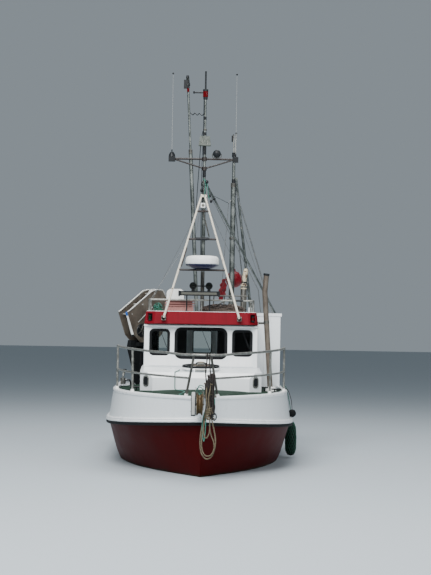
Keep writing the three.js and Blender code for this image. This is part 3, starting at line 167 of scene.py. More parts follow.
@dataclass(frozen=True)
class Gloss(Finish):
    """Two-pack paint or gelcoat on moulded glass fibre.

    To the eye it is an even colour under a clear shine, with a faint orange peel a few millimetres
    wide, chalkier patches, and thin runs of dirt that rain draws down it.
    """

    faded: str = "ffffff"
    dirt: str = "6b675c"
    roughness: float = 0.22
    dirt_share: float = 0.3
    patch_mm: float = 420
    peel_mm: float = 14
    coat: float = 0.35
    shine: float = 0.5
    weed: str = ""

    def surface(self, recipe: Recipe) -> dict:
        """See Finish.surface."""
        patch = recipe.cloud(self.patch_mm)
        runs = recipe.cloud(52, 6.0, recipe.stretched((1.0, 1.0, 0.055)))
        share = recipe.spread(runs, 0.5, 0.78, 0.0, self.dirt_share)
        color = recipe.blend(share, recipe.blend(patch, self.color, self.faded), self.dirt)
        if self.weed:
            edge = recipe.math("MULTIPLY_ADD", recipe.cloud(110, 6.0), 0.11, -0.03)
            above = recipe.math("SUBTRACT", recipe.height(), edge)
            color = recipe.blend(recipe.spread(above, 0.03, -0.02, 0.0, 0.85), color, self.weed)
        return {
            "Base Color": color,
            "Roughness": recipe.spread(patch, 0.0, 1.0, self.roughness - 0.06, self.roughness + 0.16),
            "Coat Weight": self.coat,
            "Coat Roughness": 0.06,
            "Specular IOR Level": self.shine,
            "Normal": recipe.bump(recipe.cloud(self.peel_mm, 2.0), 0.12, 0.0012),
        }


@dataclass(frozen=True)
class NonSlip(Finish):
    """Deck paint with sand rolled into it.

    To the eye it is matt and speckled; the grains are about a millimetre, drawn 7 mm so that they
    show, and feet have worn it smoother and paler in patches.
    """

    worn: str = "22382c"

    def surface(self, recipe: Recipe) -> dict:
        """See Finish.surface."""
        color = recipe.blend(recipe.spread(recipe.cloud(385, 6.0), 0.42, 0.66), self.color, self.worn)
        return {
            "Base Color": color,
            "Roughness": 0.85,
            "Specular IOR Level": 0.12,
            "Normal": recipe.bump(recipe.cloud(7, 2.0), 0.5, 0.002),
        }


@dataclass(frozen=True)
class Metal(Finish):
    """Drawn and welded tube or plate that has stood in salt air.

    To the eye aluminium goes dull and grey with whitish bloom, and steel or bronze darkens in
    blotches; fine scratches from handling cross it.
    """

    bloom: str = "c9cccb"
    roughness: float = 0.42
    metallic: float = 0.85
    bloom_mm: float = 60

    def surface(self, recipe: Recipe) -> dict:
        """See Finish.surface."""
        share = recipe.spread(recipe.cloud(self.bloom_mm, 7.0), 0.42, 0.7)
        return {
            "Base Color": recipe.blend(share, self.color, self.bloom),
            "Metallic": self.metallic,
            "Roughness": recipe.spread(share, 0.0, 1.0, self.roughness, self.roughness + 0.3),
            "Normal": recipe.bump(recipe.cloud(4, 3.0), 0.15, 0.0006),
        }


@dataclass(frozen=True)
class Chipped(Finish):
    """Brushed enamel on steel tube, or bare cast iron, that rust has got into.

    To the eye it is a plain colour with brown freckles and patches, rough where it has blistered.
    """

    rust: str = "5b2f1c"
    rust_from: float = 0.58
    roughness: float = 0.5
    spot_mm: float = 34

    def surface(self, recipe: Recipe) -> dict:
        """See Finish.surface."""
        share = recipe.spread(recipe.cloud(self.spot_mm, 9.0), self.rust_from, self.rust_from + 0.08)
        deep = recipe.cloud(9)
        return {
            "Base Color": recipe.blend(share, self.color, recipe.blend(deep, self.rust, "2a1711")),
            "Roughness": recipe.spread(share, 0.0, 1.0, self.roughness, 0.92),
            "Normal": recipe.bump(recipe.math("MULTIPLY", deep, share), 0.5, 0.003),
        }


@dataclass(frozen=True)
class Moulded(Finish):
    """Injection or rotation moulded plastic, or moulded rubber.

    To the eye it is one soft-edged colour with a fine leathery grain, bleached in patches by the sun.
    """

    faded: str = "303234"
    roughness: float = 0.5
    grain_mm: float = 5
    fade_mm: float = 160
    shine: float = 0.22

    def surface(self, recipe: Recipe) -> dict:
        """See Finish.surface."""
        fade = recipe.cloud(self.fade_mm, 6.0)
        return {
            "Base Color": recipe.blend(fade, self.color, self.faded),
            "Roughness": recipe.spread(fade, 0.0, 1.0, self.roughness - 0.1, self.roughness + 0.15),
            "Specular IOR Level": self.shine,
            "Normal": recipe.bump(recipe.cloud(self.grain_mm, 2.0), 0.25, 0.0008),
        }


@dataclass(frozen=True)
class Banded(Moulded):
    """A moulded dome whose lower part is another colour, up to a height."""

    band: str = "0b1138"
    band_top: float = 0.0

    def surface(self, recipe: Recipe) -> dict:
        """See Finish.surface."""
        inputs = super().surface(recipe)
        below = recipe.math("LESS_THAN", recipe.height(), self.band_top)
        inputs["Base Color"] = recipe.blend(below, inputs["Base Color"], self.band)
        return inputs


@dataclass(frozen=True)
class Clear(Finish):
    """Float glass or a cast acrylic lens.

    To the eye it is a dark sheet that mirrors the sky, with salt haze in faint cloudy patches.
    """

    roughness: float = 0.02
    through: float = 0.9

    def surface(self, recipe: Recipe) -> dict:
        """See Finish.surface."""
        return {
            "Base Color": linear(self.color),
            "Roughness": recipe.spread(recipe.cloud(140), 0.5, 0.8, self.roughness, self.roughness + 0.03),
            "IOR": 1.2,
            "Transmission Weight": self.through,
        }


@dataclass(frozen=True)
class Twine(Finish):
    """Laid or plaited polypropylene or nylon line, or cloth.

    To the eye each strand is a bundle of bright fibres with dirt between them; the fibres are far
    below a millimetre and are drawn 2 mm wide.
    """

    soiled: str = "4a4335"
    strand_mm: float = 22

    def surface(self, recipe: Recipe) -> dict:
        """See Finish.surface."""
        share = recipe.spread(recipe.cloud(self.strand_mm, 6.0), 0.4, 0.75, 0.0, 0.8)
        return {
            "Specular IOR Level": 0.12,
            "Base Color": recipe.blend(share, self.color, self.soiled),
            "Roughness": 0.85,
            "Sheen Weight": 0.25,
            "Normal": recipe.bump(recipe.cloud(2, 2.0), 0.6, 0.002),
        }


@dataclass(frozen=True)
class Timber(Finish):
    """Varnished marine plywood.

    To the eye long brown figure runs fore and aft, the bands about 12 mm apart, under a soft shine.
    """

    dark: str = "4a2c15"

    def surface(self, recipe: Recipe) -> dict:
        """See Finish.surface."""
        grain = recipe.stretched((1.0, 0.06, 1.0))
        inputs = {"Vector": grain, "Scale": 26.0, "Distortion": 7.0, "Detail": 4.0}
        figure = add_node(recipe.tree, "ShaderNodeTexWave", inputs).outputs[1]
        color = recipe.blend(figure, self.color, self.dark)
        relief = recipe.bump(figure, 0.1, 0.001)
        return {"Base Color": color, "Roughness": 0.35, "Coat Weight": 0.3, "Normal": relief}


class Surface(Enum):
    """The finishes of the boat, each with the recipe that makes it."""

    HULL = Gloss(
        "hull_paint", "hull_red", "3d0001", "460304", "160102", 0.44, coat=0.0, shine=0.04, weed="1a2113"
    )
    GELCOAT = Gloss("white_gelcoat", "gelcoat_white", "edf1f2", "e4e9eb", "9ba09a", 0.26, 0.1)
    # A brighter white than the gelcoat, for the caps and white mouldings; on the cabin's upward-facing front
    # faces it is a painted highlight.
    CAP = Gloss("gunwale_paint", "gelcoat_white", "f4f6f6", "eceeee", "a4a79f", 0.24, 0.15)
    # Near-black painted shade for the wheelhouse walls' inner faces and the roof's underside, where little
    # light reaches.
    LINING = Moulded("dark_lining", "black_rubber", "0b0c0c", "101212", 0.8)
    FASCIA = Gloss("fascia_paint", "roof_red", "6b0615", "76091b", "430810", 0.45, 0.4, coat=0.0, shine=0.2)
    DECK = NonSlip("deck_paint", "deck_green", "16291f")
    ALUMINIUM = Metal("weathered_aluminium", "aluminium", "7c7c76", "a8a9a4", 0.38, 0.9)
    PLATE = Metal("stained_plate", "aluminium", "5a5148", "777065", 0.5, 0.5, 210)
    RIM = Metal("bright_rim", "aluminium", "c4c6c3", "dadbd6", 0.38, 0.7)
    DARK_TUBE = Metal("tarnished_tube", "aluminium", "474744", "68665f", 0.45, 0.7, 90)
    MAST = Metal("mast_tube", "aluminium", "5b605d", "858a87", 0.34, 0.95, 160)
    REFLECTOR = Metal("mottled_reflector", "aluminium", "4f544f", "7d827c", 0.6, 0.6, 45)
    WIRE = Metal("rigging_wire", "aluminium", "6d7173", "8e8f8c", 0.4, bloom_mm=20)
    BRASSY = Metal("worn_brass", "bronze", "54452a", "2a1d13", 0.5, 0.6, 60)
    BRONZE = Metal("cast_bronze", "bronze", "a0783a", "4f6a4e", 0.4, bloom_mm=45)
    CREAM = Chipped("frame_enamel", "frame_cream", "c9c3b4", rust_from=0.6)
    PIPE_CREAM = Chipped("pipe_enamel", "frame_cream", "b8ad92", "6b4a2f", 0.54, spot_mm=80)
    TARRED_IRON = Chipped("tarred_iron", "rusty_iron", "1c1512", "30201a", 0.55)
    ENGINE = Chipped("engine_enamel", "engine_iron", "3c4b45", rust_from=0.66)
    RUBBER = Moulded("moulded_rubber", "black_rubber", "0c0d0e", "1b1d1f", 0.65, shine=0.12)
    BLACK = Moulded("black_plastic", "black_rubber", "101214", "1e2124", 0.38)
    GREY_PLASTIC = Moulded("grey_plastic", "aluminium", "a9aba8", "90928e")
    WHITE_PLASTIC = Moulded("white_plastic", "gelcoat_white", "eceeec", "dcddd8", 0.42)
    BLUE_CAP = Moulded("blue_plastic", "radome_white", "1d4f9c", "2c62ad", 0.45)
    RADOME = Banded("radome_shell", "radome_white", "e9ebe8", "dcdeda", 0.3, band_top=3.708)
    BOX = Moulded("fish_box_plastic", "box_pink", "8c5f5a", "a67770", 0.55, fade_mm=90)
    BUOY = Moulded("buoy_vinyl", "buoy_red", "5f0713", "6e0f1c", 0.36, 9)
    VINYL = Moulded("seat_vinyl", "vinyl", "1b1e22", "2b2f33", 0.45, 4)
    GLASS = Clear("window_glass", "glass", "f1f6f3", 0.0, 1.0)
    SMOKED = Clear("smoked_lens", "glass", "2c302e", 0.1, 0.4)
    LENS = Clear("lamp_lens", "glass", "77776f", 0.12, 0.5)
    RED_LENS = Clear("red_lens", "glass", "5e0a10", 0.15, 0.3)
    GREEN_LENS = Clear("green_lens", "glass", "08321d", 0.15, 0.3)
    CREAM_ROPE = Twine("cream_rope", "rope_cream", "675e49", "2f291f")
    TEAL_ROPE = Twine("teal_rope", "rope_green", "37796a", "1e443b")
    DARK_ROPE = Twine("tarred_rope", "rusty_iron", "1a120f", "0b0706")
    NET = Twine("green_netting", "net_green", "17523e", "0b271d")
    BROWN_NET = Twine("brown_netting", "rope_cream", "5f524a", "2c2724")
    RED_CLOTH = Twine("dark_red_cloth", "buoy_red", "5c0b15", "23060a", 60)
    WOOD = Timber("varnished_ply", "wood", "8a5a30")

    def material(self) -> bpy.types.Material:
        """The one material of this finish, made when it is first used."""
        return bpy.data.materials.get(self.value.name) or self.value.make()


# Node trees that make what repeats or follows a path


def add_object(name: str, data: bpy.types.ID, place: Matrix | None = None) -> bpy.types.Object:
    """Puts a new object into the scene.

    Args:
        name: its name.
        data: its mesh, lamp or camera.
        place: where it stands, if not at the origin.

    Returns:
        The object.
    """
    item = bpy.data.objects.new(name, data)
    bpy.context.scene.collection.objects.link(item)
    if place is not None:
        item.matrix_world = place
    return item


class Growth:
    """Geometry node trees, each made once, and the run that turns a skeleton into a plain mesh."""

    made: dict[str, bpy.types.NodeTree] = {}

    @classmethod
    def tree(
        cls, name: str, sockets: dict[str, str], wire: Callable[[bpy.types.NodeTree, dict], Socket]
    ) -> bpy.types.NodeTree:
        """Finds or makes a tree.

        Args:
            name: the tree's name.
            sockets: its inputs besides the geometry, from name to socket type.
            wire: adds the nodes and gives the output that holds the shapes.

        Returns:
            The tree.
        """
        if name in cls.made:
            return cls.made[name]
        tree = bpy.data.node_groups.new(name, "GeometryNodeTree")
        for way in ("OUTPUT", "INPUT"):
            tree.interface.new_socket("Geometry", in_out=way, socket_type="NodeSocketGeometry")
        for label, kind in {**sockets, "Finish": "NodeSocketMaterial"}.items():
            tree.interface.new_socket(label, in_out="INPUT", socket_type=kind)
        entry = add_node(tree, "NodeGroupInput")
        given = {socket.name: socket for socket in entry.outputs if socket.name}
        real = add_node(tree, "GeometryNodeRealizeInstances", {0: wire(tree, given)}).outputs[0]
        inputs = {"Geometry": real, "Material": given["Finish"]}
        add_node(tree, "NodeGroupOutput", {0: add_node(tree, "GeometryNodeSetMaterial", inputs).outputs[0]})
        cls.made[name] = tree
        return tree

    @staticmethod
    def run(tree: bpy.types.NodeTree, skeleton: bpy.types.Mesh, values: dict) -> bpy.types.Mesh:
        """Runs a tree on a skeleton.

        Args:
            tree: the node tree.
            skeleton: points and edges that it works on.
            values: what its inputs hold, by name.

        Returns:
            The result as a plain mesh.
        """
        carrier = add_object(tree.name, skeleton)
        modifier = carrier.modifiers.new(tree.name, "NODES")
        modifier.node_group = tree
        for item in tree.interface.items_tree:
            if item.in_out == "INPUT" and item.name in values:
                modifier[item.identifier] = values[item.name]
        made = bpy.data.meshes.new_from_object(carrier.evaluated_get(bpy.context.evaluated_depsgraph_get()))
        bpy.data.objects.remove(carrier)
        return made


def wire_pipes(tree: bpy.types.NodeTree, given: dict) -> Socket:
    """Round pipes along the skeleton's edges, with bends at its corners.

    Args:
        tree: the tree.
        given: its inputs by name.

    Returns:
        The pipes' mesh.
    """
    curve = add_node(tree, "GeometryNodeMeshToCurve", {"Mesh": given["Geometry"]}).outputs[0]
    corner = {"Curve": curve, "Count": 5, "Radius": given["Bend"], "Limit Radius": True}
    bent = add_node(tree, "GeometryNodeFilletCurve", corner, mode="POLY").outputs[0]
    size = {"Resolution": given["Sides"], "Radius": given["Radius"]}
    ring = add_node(tree, "GeometryNodeCurvePrimitiveCircle", size).outputs[0]
    run = {"Curve": bent, "Profile Curve": ring, "Fill Caps": True}
    return add_node(tree, "GeometryNodeCurveToMesh", run).outputs[0]


def wire_rope(tree: bpy.types.NodeTree, given: dict) -> Socket:
    """Three-strand rope along the skeleton's edges: a lobed section that turns as it goes.

    Args:
        tree: the tree.
        given: its inputs by name.

    Returns:
        The rope's mesh.
    """

    def calc(kind: str, *values: Socket | float) -> Socket:
        """A sum on each point."""
        return add_node(tree, "ShaderNodeMath", dict(enumerate(values)), operation=kind).outputs[0]

    curve = add_node(tree, "GeometryNodeMeshToCurve", {"Mesh": given["Geometry"]}).outputs[0]
    pace = {"Curve": curve, "Length": given["Step"]}
    fine = add_node(tree, "GeometryNodeResampleCurve", pace, mode="LENGTH")
    along = add_node(tree, "GeometryNodeSplineParameter").outputs["Length"]
    tilt = {"Curve": fine.outputs[0], "Tilt": calc("MULTIPLY", along, given["Turn"])}
    twisted = add_node(tree, "GeometryNodeSetCurveTilt", tilt).outputs[0]
    size = {"Resolution": 18, "Radius": given["Radius"]}
    ring = add_node(tree, "GeometryNodeCurvePrimitiveCircle", size).outputs[0]
    place = add_node(tree, "GeometryNodeInputPosition").outputs[0]
    axes = add_node(tree, "ShaderNodeSeparateXYZ", {0: place})
    third = calc("MULTIPLY", calc("ARCTAN2", axes.outputs[1], axes.outputs[0]), 1.5)
    lobe = calc("MULTIPLY_ADD", calc("ABSOLUTE", calc("SINE", third)), 0.32, 0.68)
    scaled = add_node(tree, "ShaderNodeVectorMath", {0: place, "Scale": lobe}, operation="SCALE").outputs[0]
    section = add_node(tree, "GeometryNodeSetPosition", {"Geometry": ring, "Position": scaled}).outputs[0]
    run = {"Curve": twisted, "Profile Curve": section, "Fill Caps": True}
    return add_node(tree, "GeometryNodeCurveToMesh", run).outputs[0]


def wire_units(tree: bpy.types.NodeTree, given: dict) -> Socket:
    """Small turned heads, such as bolts or ribs, one at each point of the skeleton.

    Args:
        tree: the tree.
        given: its inputs by name; Facing turns each head's axis.

    Returns:
        The heads as instances.
    """
    size = {"Vertices": given["Sides"], "Radius": given["Radius"], "Depth": given["Height"]}
    head = add_node(tree, "GeometryNodeMeshCylinder", size).outputs[0]
    way = {"Vector": given["Facing"]}
    turn = add_node(tree, "FunctionNodeAlignRotationToVector", way, axis="Z").outputs[0]
    spots = {"Points": given["Geometry"], "Instance": head, "Rotation": turn}
    return add_node(tree, "GeometryNodeInstanceOnPoints", spots).outputs[0]


FLOAT, WHOLE, VECTOR = "NodeSocketFloat", "NodeSocketInt", "NodeSocketVector"
TREES = {
    "pipes": ({"Radius": FLOAT, "Bend": FLOAT, "Sides": WHOLE}, wire_pipes),
    "rope": ({"Radius": FLOAT, "Turn": FLOAT, "Step": FLOAT}, wire_rope),
    "units": ({"Radius": FLOAT, "Height": FLOAT, "Sides": WHOLE, "Facing": VECTOR}, wire_units),
}


# Shapes


def lerp(low: float, high: float, share: float) -> float:
    """The value at a share of the way from low to high."""
    return low + (high - low) * share


def turns(count: int) -> list[float]:
    """As many angles, evenly round a circle."""
    return [math.tau * i / count for i in range(count)]


def circle(radius: float, count: int, height: float = 0.0) -> list[Vector]:
    """Points evenly round a circle about the z axis."""
    return [Vector((radius * math.cos(a), radius * math.sin(a), height)) for a in turns(count)]


def rectangle(low: Point, high: Point) -> list[tuple[float, float]]:
    """A rectangle's corners, anticlockwise."""
    return [(low[0], low[1]), (high[0], low[1]), (high[0], high[1]), (low[0], high[1])]


def posed(place: Point, angle: float, axis: str) -> Matrix:
    """A frame at a place, turned about one of its axes."""
    return Matrix.Translation(place) @ Matrix.Rotation(angle, 4, axis)


def frame_along(start: Point, end: Point) -> Matrix:
    """A frame that stands at start with its z axis towards end."""
    way = Vector(end) - Vector(start)
    return Matrix.Translation(start) @ way.to_track_quat("Z", "Y").to_matrix().to_4x4()


def smooth_path(points: Sequence[Point], spacing: float) -> list[Vector]:
    """A smooth line through points, as a chord-length Catmull-Rom curve gives it, evenly spaced.

    Args:
        points: what the line passes through.
        spacing: how far apart the new points lie, about.

    Returns:
        The new points.
    """
    given = [Vector(p) for p in points]
    line = [given[0] * 2 - given[1], *given, given[-1] * 2 - given[-2]]
    fine: list[Vector] = []
    for a, b, c, d in zip(line, line[1:], line[2:], line[3:]):
        steps = [max((q - p).length_squared ** 0.25, 1e-4) for p, q in ((a, b), (b, c), (c, d))]
        out = ((b - a) / steps[0] - (c - a) / (steps[0] + steps[1]) + (c - b) / steps[1]) * steps[1]
        into = ((c - b) / steps[1] - (d - b) / (steps[1] + steps[2]) + (d - c) / steps[2]) * steps[1]
        for i in range(24):
            t = i / 24
            cubic = (2 * b - 2 * c + out + into) * t**3 + (-3 * b + 3 * c - 2 * out - into) * t**2
            fine.append(cubic + out * t + b)
    fine.append(given[-1])
    reach = [0.0]
    for p, q in zip(fine, fine[1:]):
        reach.append(reach[-1] + (q - p).length)
    count = max(2, round(reach[-1] / spacing))
    even, k = [], 0
    for i in range(count + 1):
        target = reach[-1] * i / count
        while k < len(reach) - 2 and reach[k + 1] < target:
            k += 1
        share = (target - reach[k]) / max(reach[k + 1] - reach[k], 1e-9)
        even.append(fine[k].lerp(fine[k + 1], share))
    return even


def rounded_rect(low: Point, high: Point, radius: float, steps: int = 5) -> list[tuple[float, float]]:
    """A rectangle with round corners, anticlockwise.

    Args:
        low: its lower left corner.
        high: its upper right corner.
        radius: of the corners.
        steps: points in each corner, less one.

    Returns:
        Its outline.
    """
    left, right, bottom, top = low[0] + radius, high[0] - radius, low[1] + radius, high[1] - radius
    outline = []
    for x, y, start in ((right, bottom, -90), (right, top, 0), (left, top, 90), (left, bottom, 180)):
        angles = [math.radians(start + 90 * i / steps) for i in range(steps + 1)]
        outline += [(x + radius * math.cos(a), y + radius * math.sin(a)) for a in angles]
    return outline


class Shape:
    """A mesh in the making. Solids are added in the finish in use, and finish() makes them one piece."""

    def __init__(self, surface: Surface) -> None:
        """Starts an empty mesh in a finish."""
        self.mesh = bmesh.new()
        self.surfaces = [surface]
        self.index = 0

    def use(self, surface: Surface) -> Shape:
        """Changes the finish of what is added next."""
        if surface not in self.surfaces:
            self.surfaces.append(surface)
        self.index = self.surfaces.index(surface)
        return self

    def repaint(self, surface: Surface, chosen: Callable[[bmesh.types.BMFace], bool]) -> Shape:
        """Gives the faces that a test chooses another finish."""
        self.use(surface)
        self.mesh.normal_update()
        for face in filter(chosen, self.mesh.faces):
            face.material_index = self.index
        return self

    def face(self, corners: Sequence[bmesh.types.BMVert]) -> None:
        """Adds a face in the finish in use."""
        self.mesh.faces.new(corners).material_index = self.index

    def walls(self, rings: Sequence[Sequence[Point]], around: bool = True) -> list[list[bmesh.types.BMVert]]:
        """Faces between one ring of points and the next.

        Args:
            rings: as many points in each.
            around: the last point of a ring joins its first.

        Returns:
            The rings' vertices.
        """
        rows = [[self.mesh.verts.new(point) for point in ring] for ring in rings]
        count = len(rows[0])
        for low, high in zip(rows, rows[1:]):
            for i in range(count if around else count - 1):
                j = (i + 1) % count
                self.face([low[i], low[j], high[j], high[i]])
        return rows

    def skin(self, rings: Sequence[Sequence[Point]], around: bool = True, ends: bool = True) -> Shape:
        """Faces over rings of points.

        Args:
            rings: as many points in each.
            around: the last point of a ring joins its first.
            ends: the first and last ring are closed.

        Returns:
            This shape.
        """
        rows = self.walls(rings, around)
        if ends:
            self.face(rows[0][::-1])
            self.face(rows[-1])
        return self

    def turned(self, profile: Profile, place: Matrix, sides: int = 24) -> Shape:
        """A body turned round the z axis of a place.

        Args:
            profile: radius and height, from axis to axis.
            place: where it stands.
            sides: of the rings.

        Returns:
            This shape.
        """
        rows = self.walls([[place @ p for p in circle(r, sides, z)] for r, z in profile if r > 0])
        ends = ((rows[0], profile[0], profile[1]), (rows[-1], profile[-1], profile[-2]))
        for row, (radius, height), beside in ends:
            if radius > 0 or abs(height - beside[1]) < 1e-6:
                self.face(row)
                continue
            pole = self.mesh.verts.new(place @ Vector((0, 0, height)))
            for i in range(sides):
                self.face([row[i], row[(i + 1) % sides], pole])
        return self

    def ring(self, section: Profile, place: Matrix, sides: int = 32) -> Shape:
        """A closed section, radius and height, turned round the z axis of a place."""
        rings = []
        for a in turns(sides):
            rings.append([place @ Vector((r * math.cos(a), r * math.sin(a), z)) for r, z in section])
        return self.skin([*rings, rings[0]], ends=False)

    def hoop(self, place: Matrix, across: float, wire: float, up: float = 0.0) -> Shape:
        """A ring of round wire in the plane of a place, oval if up differs from across."""
        line = [place @ Vector((across * math.cos(a), (up or across) * math.sin(a), 0)) for a in turns(24)]
        return self.pipes([line], wire, 0.0, 8, closed=True)

    def bar(self, start: Point, end: Point, radius: float, end_radius: float = 0.0, sides: int = 20) -> Shape:
        """A round bar between two points, with its edges just broken.

        Args:
            start: its first end.
            end: its other end.
            radius: at the start.
            end_radius: at the end, if it tapers.
            sides: of its rings.

        Returns:
            This shape.
        """
        far = end_radius or radius
        length = (Vector(end) - Vector(start)).length
        nick = min(0.002, radius * 0.15, length * 0.2)
        profile = [(radius - nick, 0.0), (radius, nick), (far, length - nick), (far - nick, length)]
        return self.turned(profile, frame_along(start, end), sides)

    def post(self, foot: Point, top: float, radius: float, end_radius: float = 0.0, sides: int = 20) -> Shape:
        """An upright bar from its foot to a height."""
        return self.bar(foot, (foot[0], foot[1], top), radius, end_radius, sides)

    def along(self, at: Callable[[float], Point], rows: Sequence[tuple]) -> Shape:
        """Bars on one line: rows of finish, start, end and sizes, which at() gives places."""
        for surface, low, high, *sizes in rows:
            self.use(surface).bar(at(low), at(high), *sizes)
        return self

    def ball(self, centre: Point, radius: float, sides: int = 20) -> Shape:
        """A round ball."""
        rise = [math.pi * i / 10 for i in range(1, 10)]
        side = [(radius * math.sin(a), -radius * math.cos(a)) for a in rise]
        return self.turned([(0.0, -radius), *side, (0.0, radius)], Matrix.Translation(centre), sides)

    def box(self, low: Point, high: Point) -> Shape:
        """A box by its lowest and highest corners."""
        return self.prism("z", rectangle(low, high), low[2], high[2])

    def prism(
        self, axis: str, outline: Profile, start: float, end: float, place: Matrix | None = None
    ) -> Shape:
        """An outline drawn out along an axis.

        Args:
            axis: x, y or z.
            outline: (y, z) for x, (x, z) for y and (x, y) for z.
            start: where it begins on the axis.
            end: where it ends.
            place: turns and moves it afterwards.

        Returns:
            This shape.
        """
        order = {"x": (2, 0, 1), "y": (0, 2, 1), "z": (0, 1, 2)}[axis]
        where = place or Matrix.Identity(4)
        rings = [[where @ Vector([(a, b, c)[i] for i in order]) for a, b in outline] for c in (start, end)]
        return self.skin(rings)

    def moulding(self, line: Sequence[Point], out: Point, profile: Profile) -> Shape:
        """A section drawn round a closed flat line, mitred at its corners.

        Args:
            line: the line, anticlockwise as seen from where out points.
            out: the side that its plane faces.
            profile: how far outwards in the plane, and how far out of it.

        Returns:
            This shape.
        """
        points = [Vector(p) for p in line]
        up = Vector(out).normalized()
        rings = []
        for i, point in enumerate(points):
            into = (point - points[i - 1]).normalized()
            onward = (points[(i + 1) % len(points)] - point).normalized()
            away = (into + onward).normalized().cross(up)
            away /= max(away.dot(into.cross(up)), 0.4)
            rings.append([point + away * a + up * b for a, b in profile])
        return self.skin([*rings, rings[0]], ends=False)

    def grow(
        self, kind: str, paths: Sequence[Sequence[Point]], closed: bool = False, **values: object
    ) -> Shape:
        """Adds what a node tree makes of some paths.

        Args:
            kind: pipes, rope or units.
            paths: lines of points.
            closed: each path joins its own start.
            **values: the tree's inputs, by their names in lower case.

        Returns:
            This shape.
        """
        points: list[Point] = []
        edges: list[tuple[int, int]] = []
        for path in paths:
            first = len(points)
            points.extend(tuple(point) for point in path)
            edges.extend((i, i + 1) for i in range(first, len(points) - 1))
            if closed:
                edges.append((len(points) - 1, first))
        skeleton = bpy.data.meshes.new(kind)
        skeleton.from_pydata(points, [] if kind == "units" else edges, [])
        inputs = {label.capitalize(): value for label, value in values.items()}
        inputs["Finish"] = self.surfaces[self.index].material()
        grown = Growth.run(Growth.tree(kind, *TREES[kind]), skeleton, inputs)
        for face in self.mesh.faces:
            face.tag = True
        self.mesh.from_mesh(grown)
        for face in self.mesh.faces:
            if not face.tag:
                face.material_index = self.index
        bpy.data.meshes.remove(grown)
        return self

    def pipes(
        self, paths: Sequence[Sequence[Point]], radius: float, bend: float = 0.0, sides: int = 12,
        closed: bool = False,
    ) -> Shape:
        """Round pipes along paths.

        Args:
            paths: lines of corners.
            radius: of the pipe.
            bend: radius of its bends.
            sides: of its section.
            closed: each path joins its own start.

        Returns:
            This shape.
        """
        return self.grow("pipes", paths, closed, radius=radius, bend=bend, sides=sides)

    def hose(self, points: Sequence[Point], radius: float, sides: int = 8, spacing: float = 0.03) -> Shape:
        """A round pipe along a smooth line through points."""
        return self.pipes([smooth_path(points, spacing)], radius, 0.0, sides)

    def rope(
        self, points: Sequence[Point], radius: float, pitch: float, step: float, spacing: float
    ) -> Shape:
        """A three-strand rope along a smooth line through points, one turn in each pitch."""
        path = smooth_path(points, spacing)
        return self.grow("rope", [path], radius=radius, turn=math.tau / pitch, step=step)

    def bolts(
        self, points: Sequence[Point], radius: float, height: float, facing: Point, sides: int = 6
    ) -> Shape:
        """Bolt heads at points, whose axis faces one way."""
        return self.grow("units", [points], radius=radius, height=height, facing=facing, sides=sides)

    def copy_node(self, node: str) -> Shape:
        """Takes a merged copy of a CAD node, with its flat faces whole, into this shape, still empty."""
        self.mesh.from_mesh(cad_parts[node].data)
        bmesh.ops.remove_doubles(self.mesh, verts=self.mesh.verts, dist=WELD)
        parts = {"verts": self.mesh.verts, "edges": self.mesh.edges}
        bmesh.ops.dissolve_limit(self.mesh, angle_limit=math.radians(1), **parts)
        for face in self.mesh.faces:
            face.material_index = self.index
        return self

    def finish(
        self, name: str, body: str = BOAT, replaces: Sequence[str] = (), bevel: float = 0.0,
        angle: float = 32.0, wall: float = 0.0,
    ) -> bpy.types.Object:
        """Makes the piece.

        Args:
            name: the piece's name.
            body: the CAD body that it rides on.
            replaces: the CAD nodes that it stands for.
            bevel: how far its sharp edges are rounded.
            angle: edges sharper than this stay crisp, in degrees.
            wall: thickness that an open skin gets, inwards.

        Returns:
            The piece.
        """
        bmesh.ops.remove_doubles(self.mesh, verts=self.mesh.verts, dist=WELD)
        if not wall:
            bmesh.ops.recalc_face_normals(self.mesh, faces=self.mesh.faces)
        mesh = bpy.data.meshes.new(name)
        self.mesh.to_mesh(mesh)
        self.mesh.free()
        mesh.shade_smooth()
        mesh.set_sharp_from_angle(angle=math.radians(angle))
        for surface in self.surfaces:
            mesh.materials.append(surface.material())
        piece = add_object(name, mesh)
        if wall:
            shell = piece.modifiers.new("Wall", "SOLIDIFY")
            shell.thickness, shell.offset, shell.use_even_offset = wall, -1.0, True
        if bevel:
            rounding = piece.modifiers.new("Rounded edges", "BEVEL")
            rounding.width, rounding.segments, rounding.angle_limit = bevel, 2, math.radians(angle)
            rounding.harden_normals = True
        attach(piece, body)
        if replaces:
            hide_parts(*replaces)
        LOG.info("%s: %d faces on %s", name, len(mesh.polygons), body)
        return piece


def dress(node: str, surface: Surface) -> None:
    """Gives a CAD node that is shown as it is its finish."""
    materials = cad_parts[node].data.materials
    materials.clear()
    materials.append(surface.material())


def soften(node: str, surface: Surface, bevel: float = 0.004, body: str = BOAT, angle: float = 32.0) -> None:
    """Stands a copy of a CAD node with rounded edges in its place.

    Args:
        node: the node.
        surface: its finish.
        bevel: how far its edges are rounded.
        body: the body that it rides on.
        angle: edges sharper than this are rounded, in degrees.
    """
    Shape(surface).copy_node(node).finish(f"{node}_formed", body, [node], bevel=bevel, angle=angle)


# The boat's lines


def ease(share: float) -> float:
    """A smooth step from 0 to 1."""
    t = min(max(share, 0.0), 1.0)
    return t * t * (3 - 2 * t)


